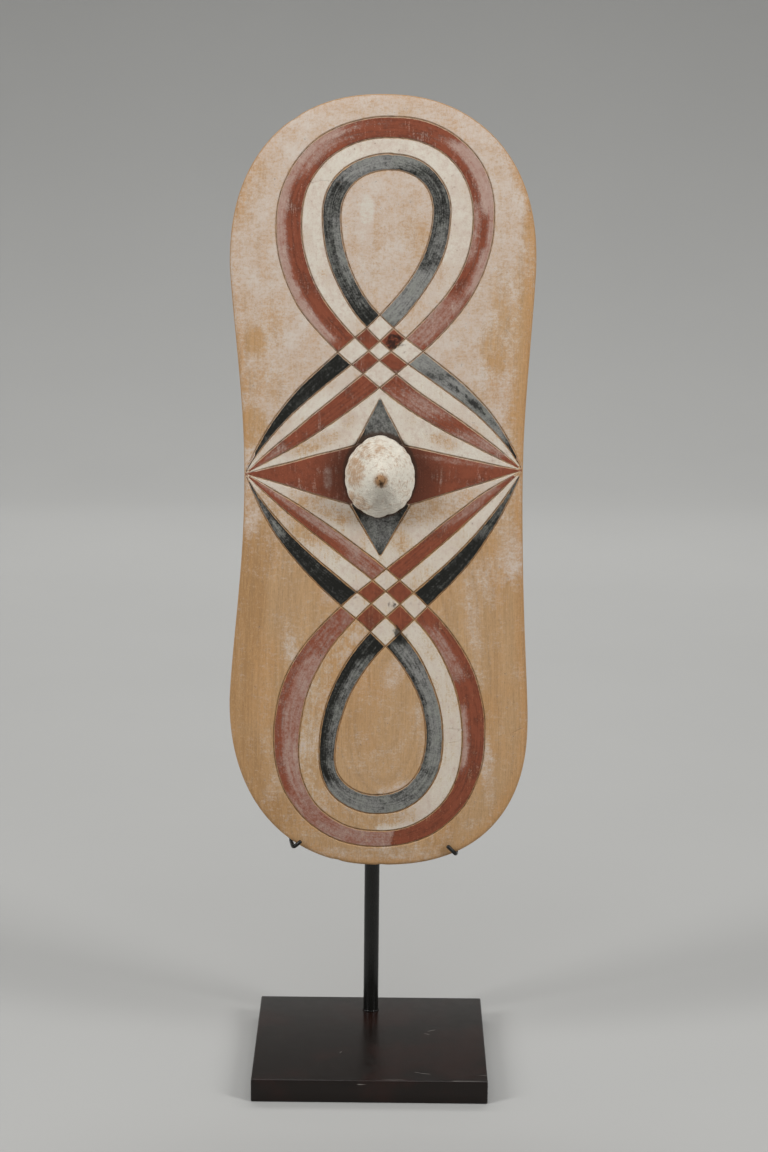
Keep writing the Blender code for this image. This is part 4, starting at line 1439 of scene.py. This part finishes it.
def shield_paint():
    """Wood under a pale wash, and red, white and black pigment between the cut lines."""
    look = shield_look()
    r = Recipe("shield_paint")
    board = board_coordinates(r)
    wood, fibres, ripples = dry_wood(r, board)
    stroke = r.place(stretch=(30.0, 9.0, 7.0), of=r.attribute("stroke", vector=True))
    streaks = r.wave(r.noise(stroke, 1.0, 4.0, 0.6))
    ragged = r.wave(r.noise(board, 300.0, 4.0, 0.65))
    speckle = r.wave(r.noise(board, 760.0, 3.0, 0.7))
    cloud = r.wave(r.noise(board, 70.0, 5.0, 0.62))
    blotch = r.wave(r.noise(board, 24.0, 4.0, 0.6))
    combed = r.wave(r.noise(r.place(stretch=(1.0, 1.0, 0.10), of=board), 620.0, 3.0, 0.6))
    margin = look.paint_margin / MM
    line = r.attribute("line")

    wash = r.add(r.attribute("wash"), (cloud, 0.42), (blotch, 0.40), (combed, 0.18), (ragged, 0.50))
    wash = r.add(wash, (r.wave(ripples), 0.48), (speckle, 0.64))
    cream = tinted(look.wash, (1.06, 1.14, 1.20))
    tone = r.rise(r.add(blotch, (cloud, 0.9), (ragged, 0.5), (speckle, 0.3)), -0.20, 0.55)
    colour = r.blend(r.rise(wash, 0.0, 1.12, 0.0, 0.94), wood, r.blend(tone, look.wash, cream))
    colour = r.blend(r.rise(wash, 1.05, 1.65, 0.0, 0.85), colour, look.chalk)
    beside = r.rise(r.add(line, (cloud, 0.6), (ragged, 0.5)), 1.10, 0.35, 0.0, 0.50)
    colour = r.blend(beside, colour, between(look.wood, look.wood_warm, 0.45))

    def covered(name, soft=0.30):
        """Where a pigment lies, its edge ragged and a little short of the line."""
        edge = r.add(r.attribute(name), (cloud, 0.35), (ragged, 0.55), (speckle, 0.30))
        return r.rise(edge, margin - soft, margin + soft)

    left = r.add(r.attribute("chalk"), (cloud, 0.70), (blotch, 0.40), (speckle, 0.60), (ragged, 0.60))
    left = r.add(left, (combed, 0.30), (streaks, 0.25))
    white = r.sum("MULTIPLY", covered("white"), r.rise(left, -0.10, 0.90, 0.0, 0.98))
    warmth = r.rise(r.add(ragged, (cloud, 1.0), (speckle, 0.6)), -0.45, 0.65)
    colour = r.blend(white, colour, r.blend(warmth, scaled(look.chalk, 1.10), look.wash))

    deep = r.rise(r.add(streaks, (cloud, 0.7), (ragged, 0.6)), -0.25, 0.45, 0.0, 0.85)
    red = r.blend(deep, look.earth_red, scaled(look.earth_red, 0.52))
    light = r.rise(r.add(speckle, (combed, 0.6), (ragged, 0.4)), 0.10, 0.60, 0.0, 0.6)
    red = r.blend(light, red, tinted(look.earth_red, (1.62, 1.32, 1.15)))
    pink = r.add(r.attribute("pink"), (streaks, 0.50), (cloud, 0.40), (ragged, 0.50), (speckle, 0.40))
    red = r.blend(r.rise(pink, 0.10, 1.15, 0.0, 0.92), red, look.pink_bloom)
    thin = r.rise(r.add(combed, (cloud, 0.8), (speckle, 0.6)), 0.15, 0.80, 0.0, 0.34)
    red_cover = covered("red")
    colour = r.blend(r.sum("MULTIPLY", red_cover, r.sum("SUBTRACT", 1.0, thin)), colour, red)

    grey = r.add(r.attribute("grey"), (streaks, 0.70), (cloud, 0.35), (ragged, 0.55), (speckle, 0.55))
    grey = r.sum("POWER", r.rise(grey, -0.10, 1.15), 1.15)
    green = r.rise(r.add(cloud, (streaks, 0.8)), -0.3, 0.5)
    bloom = r.blend(green, look.grey_bloom, tinted(look.grey_bloom, (0.84, 0.87, 0.82)))
    black = r.blend(grey, look.charcoal, bloom)
    black_cover = covered("black")
    colour = r.blend(black_cover, colour, black)

    soot = r.rise(r.add(r.attribute("soot"), (ragged, 0.9), (speckle, 0.6)), 0.30, 0.70, 0.0, 0.85)
    colour = r.blend(soot, colour, scaled(look.charcoal, 0.7))
    foot = r.attribute("foot")
    # Painted shadow of the boss: the red darkens towards the boss on both sides, where the boss shades
    # it
    near_boss = r.add(foot, (streaks, 0.40), (cloud, 0.30), (ragged, 0.35), (speckle, 0.20))
    shade = r.sum("MULTIPLY", red_cover, r.rise(near_boss, 2.05, 1.05, 0.0, 0.55))
    colour = r.blend(shade, colour, BOSS_SHADOW_ON_RED)
    # Painted contact shadow: a dark ring on the board round the foot of the boss
    contact_shadow = r.rise(r.add(foot, (ragged, 0.05), (cloud, 0.04)), 1.115, 1.02, 0.0, 0.85)
    colour = r.blend(contact_shadow, colour, BOSS_CONTACT_SHADOW)

    # The bottom of each incised line is coloured dark brown, more in some places than in others
    cut = r.rise(r.add(line, (speckle, 0.30)), 0.64, 0.12)
    depth = r.rise(r.add(0.62, (cloud, 0.8)), 0.2, 1.0, 0.35, 0.92)
    colour = r.blend(r.sum("MULTIPLY", cut, depth), colour, look.groove_brown)
    dirt = r.rise(r.noise(board, 34.0, 5.0, 0.7), 0.60, 0.80, 0.0, 0.12)
    colour = r.blend(dirt, colour, DIRT_BROWN)

    pigment = r.sum("MAXIMUM", white, r.sum("MAXIMUM", red_cover, black_cover))
    roughness = r.rise(pigment, 0.0, 1.0, 0.66, 0.88)
    relief = r.add(0.5, (fibres, 0.7), (r.sum("MULTIPLY", pigment, r.sum("ADD", speckle, 0.6)), 1.0))
    normal = r.bump(relief, 0.00018, 0.75)
    normal = r.bump(ripples, 0.00014, 0.5, under=normal)
    return r.finish(colour, roughness, normal, Specular_IOR_Level=0.22)


def boss_paint():
    """Chalk white over the boss, rubbed to the wood at its rim and its tip, with painted shade at its
    foot and on its lower half.
    """
    look = shield_look()
    r = Recipe("boss_paint")
    board = board_coordinates(r)
    side, depth, height = r.split(board)
    out = r.sum("MULTIPLY", depth, -1.0)
    turn = r.sum("ARCTAN2", height, side)
    reach = r.length(side, height)
    polar = r.join(turn, r.sum("MULTIPLY", reach, 60.0))
    strokes = r.wave(r.noise(polar, 4.5, 3.0, 0.6))
    cloud = r.wave(r.noise(board, 26.0, 1.5, 0.5))
    speckle = r.wave(r.noise(board, 700.0, 3.0, 0.7))
    ragged = r.wave(r.noise(board, 230.0, 4.0, 0.6))
    cuts = r.join(r.sum("MULTIPLY", turn, 5.0), r.sum("MULTIPLY", reach, 1500.0))
    ridges = r.wave(r.noise(cuts, 1.0, 3.0, 0.6))

    tip = r.rise(r.add(reach, (ragged, 0.0028), (ridges, 0.0022)), 0.0074, 0.0030)
    low_half = r.rise(height, 0.004, -0.016)
    tan_share = r.add(r.attribute("tan"), (strokes, 0.90), (cloud, 0.60), (ragged, 0.60), (ridges, 0.90))
    tan_share = r.rise(r.add(tan_share, (speckle, 0.50)), 0.0, 1.25, 0.0, 0.95)
    thin = r.rise(r.add(ragged, (ridges, 0.9), (speckle, 0.6)), -0.10, 1.05)
    chalk = r.blend(thin, scaled(look.chalk, 1.34), look.wash)
    colour = r.blend(tan_share, chalk, between(look.wash, look.wood_warm, 0.62))
    # Painted shade on the lower half of the boss, in a band down its middle, where it faces away from
    # the light
    middle = r.rise(r.sum("ABSOLUTE", r.add(side, (cloud, 0.010))), 0.012, 0.004)
    painted_low_shade = r.sum("MULTIPLY", low_half, middle)
    colour = r.blend(r.sum("MULTIPLY", painted_low_shade, 0.36), colour, BOSS_PAINTED_SHADE)
    colour = r.blend(r.sum("MULTIPLY", tip, 0.90), colour, TIP_TAN)
    upright_grain = r.noise(r.place(stretch=(1.0, 1.0, 0.4), of=board), 620.0, 3.0, 0.6)
    cracks = r.rise(upright_grain, 0.52, 0.62, 0.0, 0.80)
    colour = r.blend(r.sum("MULTIPLY", tip, cracks), colour, CRACK_BROWN)
    pit = r.sum("POWER", r.sum("SUBTRACT", side, BOSS_PIT_SHIFT[0]), 2.0)
    pit = r.add(pit, (r.sum("POWER", r.sum("ADD", height, 0.0035), 2.0), 0.35))
    pit = r.rise(r.sum("SQRT", pit), 0.0022, 0.0010, 0.0, 0.8)
    colour = r.blend(pit, colour, PIT_BROWN)
    # Painted shade on the low wall of the boss, where it meets the board
    foot = r.rise(r.add(out, (ragged, 0.008)), 0.0125, 0.0065, 0.0, 0.70)
    colour = r.blend(foot, colour, BOSS_FOOT_SHADOW)
    normal = r.bump(r.add(strokes, (ragged, 0.6), (speckle, 0.3), (ridges, 0.9)), 0.00060, 0.9)
    return r.finish(colour, 0.85, normal, Specular_IOR_Level=0.22)


def scratch(r, side, depth, angle, half_length):
    """One straight scratch on the plate: where its middle is and how it is turned."""
    turn = math.radians(-angle)
    shift = -(Matrix.Rotation(turn, 3, "Z") @ Vector((side, depth, 0.0)))
    along, across, _ = r.split(r.place(shift=tuple(shift), turn=(0.0, 0.0, turn)))
    along = r.rise(r.sum("ABSOLUTE", along), half_length, 0.5 * half_length)
    across = r.rise(r.sum("ABSOLUTE", across), 0.00036, 0.00010)
    return r.sum("MULTIPLY", along, across)


def plate_patina():
    """Brown-black patina with redder patches, fine scratches and a soft wax sheen."""
    look = stand_look()
    r = Recipe("plate_patina")
    place = r.place()
    broad = r.noise(place, 19.0, 5.0, 0.65)
    fine = r.noise(place, 90.0, 5.0, 0.65)
    colour = r.blend(r.rise(broad, 0.46, 0.64), look.patina, look.patina_rust)
    colour = r.blend(r.rise(fine, 0.55, 0.75, 0.0, 0.4), colour, scaled(look.patina, 0.5))
    scratch_place = r.place(turn=(0.0, 0.0, math.radians(31.0)), stretch=(9.0, 260.0, 260.0))
    scratches = r.rise(r.noise(scratch_place, 1.0, 2.0, 0.5), 0.715, 0.745)
    few = r.rise(r.noise(place, 34.0, 1.0, 0.5), 0.52, 0.60)
    scratches = r.sum("MULTIPLY", scratches, few)
    for given in PLATE_SCRATCHES:
        scratches = r.sum("MAXIMUM", scratches, scratch(r, *given))
    colour = r.blend(r.sum("MULTIPLY", scratches, 0.75), colour, BARE_STEEL)
    roughness = r.rise(fine, 0.3, 0.7, 0.20, 0.27)
    normal = r.bump(broad, 0.00030, 0.15)
    return r.finish(colour, roughness, normal, Specular_IOR_Level=0.33)


def black_steel(name, roughness):
    """Blackened steel bar with faint drawing marks along it."""
    look = stand_look()
    r = Recipe(name)
    drawn = r.noise(r.place(stretch=(1.0, 1.0, 0.06)), 900.0, 3.0, 0.6)
    broad = r.noise(r.place(), 45.0, 3.0, 0.6)
    colour = r.blend(r.rise(broad, 0.45, 0.75), look.black_steel, scaled(look.black_steel, 2.0))
    rough = r.rise(drawn, 0.3, 0.7, roughness - 0.04, roughness + 0.06)
    normal = r.bump(drawn, 0.00002, 0.3)
    return r.finish(colour, rough, normal, Specular_IOR_Level=0.36)


def paper_ground():
    """Plain pale paper with the faintest mottle."""
    look = stage_look()
    r = Recipe("paper_ground")
    mottle = r.noise(r.place(), 3.0, 3.0, 0.5)
    colour = r.blend(r.rise(mottle, 0.3, 0.7), look.ground, scaled(look.ground, 0.985))
    return r.finish(colour, 0.92, Specular_IOR_Level=0.15)


# Operators

class SHIELD_OT_carve(Operator):
    """Carve the shield: the board with its cut lines, the boss and the arm sleeve"""
    bl_idname = "dance_shield.carve"
    bl_label = "Carve the shield"

    def execute(self, context):
        board, grooves = board_mesh()
        piece = object_from(board, "carved_shield")
        boss = object_from(boss_mesh(), "boss")
        for material in (shield_paint(), boss_paint()):
            piece.data.materials.append(material)
            boss.data.materials.append(material)
        for face in boss.data.polygons:
            face.material_index = 1
        join_solid(piece, object_from(sleeve_mesh(), "sleeve"))
        join_solid(piece, boss)
        paint_fields(piece.data, grooves)
        uneven(piece.data, shield_look().unevenness)
        piece.data.transform(shield_place())
        smooth_shading(piece)
        stands_for(piece, "shield")
        return {"FINISHED"}


class SHIELD_OT_plate(Operator):
    """Make the stand's square plate with its edges eased"""
    bl_idname = "dance_shield.plate"
    bl_label = "Make the base plate"

    def execute(self, context):
        bm = bmesh.new()
        bmesh.ops.create_cube(bm, size=1.0)
        bmesh.ops.scale(bm, verts=bm.verts, vec=(PLATE_SIDE, PLATE_SIDE, PLATE_THICKNESS))
        bmesh.ops.translate(bm, verts=bm.verts, vec=(0.0, 0.0, 0.5 * PLATE_THICKNESS))
        bmesh.ops.bevel(
            bm, geom=bm.edges[:], offset=stand_look().plate_edge, segments=5, profile=0.5,
            affect="EDGES", material=-1)
        plate = object_from(bm, "steel_plate")
        smooth_shading(plate, 50.0)
        plate.data.materials.append(plate_patina())
        stands_for(plate, "base_plate")
        return {"FINISHED"}


class SHIELD_OT_upright(Operator):
    """Turn the upright bar, with the bead of weld at its foot and its rounded top"""
    bl_idname = "dance_shield.upright"
    bl_label = "Make the upright"

    def execute(self, context):
        low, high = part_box("upright")
        foot, length = low.z, high.z - low.z
        bead = 0.35 * FOOT_WELD
        quarter = [(1.0 - math.sin(a), 1.0 - math.cos(a)) for a in np.linspace(0.0, 0.5 * math.pi, 7)]
        profile = [(0.0, 0.0), (UPRIGHT_RADIUS + bead, 0.0)]
        profile += [
            (UPRIGHT_RADIUS + bead * out * 0.95, 0.0002 + 1.2 * bead * up) for out, up in quarter]
        profile += [
            (UPRIGHT_RADIUS - UPRIGHT_END_ROUND * back, length - UPRIGHT_END_ROUND * down)
            for down, back in quarter]
        profile.append((0.0, length))
        bm = turned(profile, 72)
        bmesh.ops.translate(bm, verts=bm.verts, vec=(0.0, UPRIGHT_SETBACK, foot))
        bmesh.ops.recalc_face_normals(bm, faces=bm.faces)
        bar = object_from(bm, "steel_upright")
        smooth_shading(bar, 40.0)
        bar.data.materials.append(black_steel("upright_black", 0.24))
        stands_for(bar, "upright")
        return {"FINISHED"}


def hook_corners(side):
    """The corners of one hook's rod, from the upright out to the tip before the face."""
    back_side, low_corner, tip = HOOK_BENDS[side]
    under_back = low_edge_height(back_side) - 2.3 * ROD_RADIUS - CLEARANCE
    behind = -(EDGE_THICKNESS + ROD_RADIUS + CLEARANCE)
    shoulder = on_shield(back_side, behind, under_back + HOOK_BACK_RISE)
    bar = Vector((0.0, UPRIGHT_SETBACK, shoulder.z))
    outward = (shoulder - bar).normalized()
    return [
        bar + outward * (UPRIGHT_RADIUS - 0.0004),
        shoulder,
        on_shield(back_side, behind, under_back),
        on_shield(low_corner[0], HOOK_STAND_OFF, low_corner[1]),
        on_shield(tip[0], HOOK_STAND_OFF + 0.0005, tip[1]),
    ]


def bent_path(corners, steps):
    """The points of a rod with a round bend at each inner corner."""
    points = [corners[0]]
    for before, corner, after in zip(corners, corners[1:], corners[2:]):
        arm_in = before - corner
        arm_out = after - corner
        trim = min(HOOK_BEND_RADIUS, 0.45 * arm_in.length, 0.45 * arm_out.length)
        start = corner + arm_in.normalized() * trim
        end = corner + arm_out.normalized() * trim
        for step in range(steps + 1):
            t = step / steps
            points.append(start.lerp(corner, t).lerp(corner.lerp(end, t), t))
    return points + [corners[-1]]


def rod_mesh(points, radius, sides):
    """A round rod extruded along a path, its far end rounded."""
    bm = bmesh.new()
    bmesh.ops.create_circle(bm, cap_ends=True, segments=sides, radius=radius)
    ring = list(bm.faces)[0]
    heading = (points[1] - points[0]).normalized()
    turn = Vector((0.0, 0.0, 1.0)).rotation_difference(heading)
    bmesh.ops.rotate(bm, verts=bm.verts, cent=(0.0, 0.0, 0.0), matrix=turn.to_matrix())
    bmesh.ops.translate(bm, verts=bm.verts, vec=points[0])
    ends = [(point, 1.0) for point in points[1:]]
    last = (points[-1] - points[-2]).normalized()
    ends[-1] = (points[-1] - last * radius * 0.55, 1.0)
    ends += [(points[-1] - last * radius * 0.22, 0.86), (points[-1], 0.45)]
    here = points[0]
    scale = 1.0
    for index, (place, size) in enumerate(ends):
        beyond = ends[min(index + 1, len(ends) - 1)][0]
        new_heading = (beyond - here).normalized()
        grown = bmesh.ops.extrude_discrete_faces(bm, faces=[ring])
        ring = grown["faces"][0]
        turn = heading.rotation_difference(new_heading).to_matrix()
        bmesh.ops.rotate(bm, verts=ring.verts, cent=here, matrix=turn)
        bmesh.ops.translate(bm, verts=ring.verts, vec=place - here)
        centre = ring.calc_center_median()
        for vert in ring.verts:
            vert.co = centre + (vert.co - centre) * (size / scale)
        heading, here, scale = new_heading, place, size
    bmesh.ops.recalc_face_normals(bm, faces=bm.faces)
    return bm


class SHIELD_OT_hooks(Operator):
    """Bend the two rods that hold the shield's lower edge, each with its weld"""
    bl_idname = "dance_shield.hooks"
    bl_label = "Bend the hooks"

    def execute(self, context):
        steel = black_steel("rod_black", 0.30)
        for side, name in ((-1, "hook_left"), (1, "hook_right")):
            corners = hook_corners(side)
            bm = rod_mesh(bent_path(corners, 10), ROD_RADIUS, 24)
            weld = bmesh.ops.create_uvsphere(bm, u_segments=20, v_segments=10, radius=1.0)
            heading = (corners[1] - corners[0]).normalized()
            turn = Vector((0.0, 0.0, 1.0)).rotation_difference(heading).to_matrix().to_4x4()
            size = Matrix.Diagonal((ROD_RADIUS * 1.55, ROD_RADIUS * 1.55, ROD_RADIUS * 0.9, 1.0))
            place = Matrix.Translation(corners[0] + heading * 0.0006) @ turn @ size
            for vert in weld["verts"]:
                lump = 1.0 + 0.10 * noise.noise(vert.co * 2.6 + Vector((side, 0.0, 0.0)))
                vert.co = place @ (vert.co * lump)
            rod = object_from(bm, name + "_rod")
            smooth_shading(rod, 50.0)
            rod.data.materials.append(steel)
            stands_for(rod, name)
        return {"FINISHED"}


def soft_light(name, place, aim, size, power, mirrored=True):
    """A large area light aimed at a point, seen or not in the polished steel."""
    light = bpy.data.lights.new(name, "AREA")
    light.shape = "RECTANGLE"
    light.size, light.size_y = size
    light.energy = power
    lamp = bpy.data.objects.new(name, light)
    lamp.visible_glossy = mirrored
    lamp.location = place
    lamp.rotation_euler = (Vector(aim) - Vector(place)).to_track_quat("-Z", "Y").to_euler()
    bpy.context.collection.objects.link(lamp)


class SHIELD_OT_stage(Operator):
    """Lay the pale ground, hang the soft lights and set the camera"""
    bl_idname = "dance_shield.stage"
    bl_label = "Set the stage"

    def execute(self, context):
        look = stage_look()
        bm = bmesh.new()
        sweep = [(SWEEP_FRONT, 0.0), (SWEEP_BEND_START, 0.0)]
        for step in range(1, 13):
            angle = 0.5 * math.pi * step / 12.0
            depth = SWEEP_BEND_START + SWEEP_BEND * math.sin(angle)
            sweep.append((depth, SWEEP_BEND * (1.0 - math.cos(angle))))
        sweep.append((SWEEP_BEND_START + SWEEP_BEND, SWEEP_TOP))
        verts = [bm.verts.new((-SWEEP_HALF_WIDTH, y, z)) for y, z in sweep]
        edges = [bm.edges.new(pair) for pair in zip(verts, verts[1:])]
        grown = bmesh.ops.extrude_edge_only(bm, edges=edges)
        moved = [v for v in grown["geom"] if isinstance(v, bmesh.types.BMVert)]
        bmesh.ops.translate(bm, verts=moved, vec=(2.0 * SWEEP_HALF_WIDTH, 0.0, 0.0))
        bmesh.ops.recalc_face_normals(bm, faces=bm.faces)
        ground = object_from(bm, "paper_sweep")
        ground.data.shade_smooth()
        ground.data.materials.append(paper_ground())

        soft_light("top_light", (0.0, -1.0, 1.90), (0.0, 0.0, 0.70), (1.5, 0.8), look.key_power)
        for name, side in (("left_light", -1.7), ("right_light", 1.7)):
            soft_light(name, (side, -1.2, 1.5), (0.0, 0.0, 0.5), (0.55, 1.1), look.side_power)
        soft_light("near_light", (0.0, 1.0, 1.5), (0.0, 1.0, 0.0), (2.6, 0.8), 0.80 * look.back_power)
        soft_light("far_light", (0.0, 1.9, 2.6), (0.0, 1.9, 0.0), (4.5, 0.8), 1.40 * look.back_power)
        soft_light("low_light", (0.0, 2.35, 1.0), (0.0, 2.35, 0.0), (4.5, 0.5), look.back_power, False)

        world = bpy.data.worlds.new("room_light")
        world.use_nodes = True
        world.node_tree.nodes["Background"].inputs["Color"].default_value = (1.0, 1.0, 1.0, 1.0)
        world.node_tree.nodes["Background"].inputs["Strength"].default_value = look.sky_strength
        context.scene.world = world
        context.scene.view_settings.view_transform = "Standard"

        data = bpy.data.cameras.new("studio_camera")
        data.sensor_width = 36.0
        data.lens = look.lens
        data.clip_start, data.clip_end = 0.05, 60.0
        camera = bpy.data.objects.new("studio_camera", data)
        camera.location = (look.camera_side, -look.camera_distance, look.camera_height)
        tilt = Euler((0.5 * math.pi - look.camera_pitch, 0.0, 0.0)).to_matrix()
        camera.rotation_euler = (tilt @ Matrix.Rotation(look.camera_roll, 3, "Z")).to_euler()
        context.collection.objects.link(camera)
        context.scene.camera = camera
        return {"FINISHED"}


class SHIELD_PT_sidebar(Panel):
    """The steps and what can be changed, in the order they are run"""
    bl_label = "Painted dance shield"
    bl_idname = "SHIELD_PT_sidebar"
    bl_space_type = "VIEW_3D"
    bl_region_type = "UI"
    bl_category = "Shield"

    def draw(self, context):
        layout = self.layout
        for group, operators in (
                (shield_look(), (SHIELD_OT_carve,)),
                (stand_look(), (SHIELD_OT_plate, SHIELD_OT_upright, SHIELD_OT_hooks)),
                (stage_look(), (SHIELD_OT_stage,))):
            box = layout.box()
            for name in group.bl_rna.properties.keys():
                if name not in {"rna_type", "name"}:
                    box.prop(group, name)
            for operator in operators:
                box.operator(operator.bl_idname)


CLASSES = (
    ShieldLook, StandLook, StageLook, SHIELD_OT_carve, SHIELD_OT_plate, SHIELD_OT_upright,
    SHIELD_OT_hooks, SHIELD_OT_stage, SHIELD_PT_sidebar,
)


def register():
    for cls in CLASSES:
        bpy.utils.register_class(cls)
    bpy.types.Scene.dance_shield = PointerProperty(type=ShieldLook)
    bpy.types.Scene.shield_stand = PointerProperty(type=StandLook)
    bpy.types.Scene.shield_stage = PointerProperty(type=StageLook)


def unregister():
    del bpy.types.Scene.shield_stage
    del bpy.types.Scene.shield_stand
    del bpy.types.Scene.dance_shield
    for cls in reversed(CLASSES):
        bpy.utils.unregister_class(cls)


def main():
    register()
    bpy.ops.dance_shield.stage()
    bpy.ops.dance_shield.carve()
    bpy.ops.dance_shield.plate()
    bpy.ops.dance_shield.upright()
    bpy.ops.dance_shield.hooks()


if __name__ == "__main__":
    main()
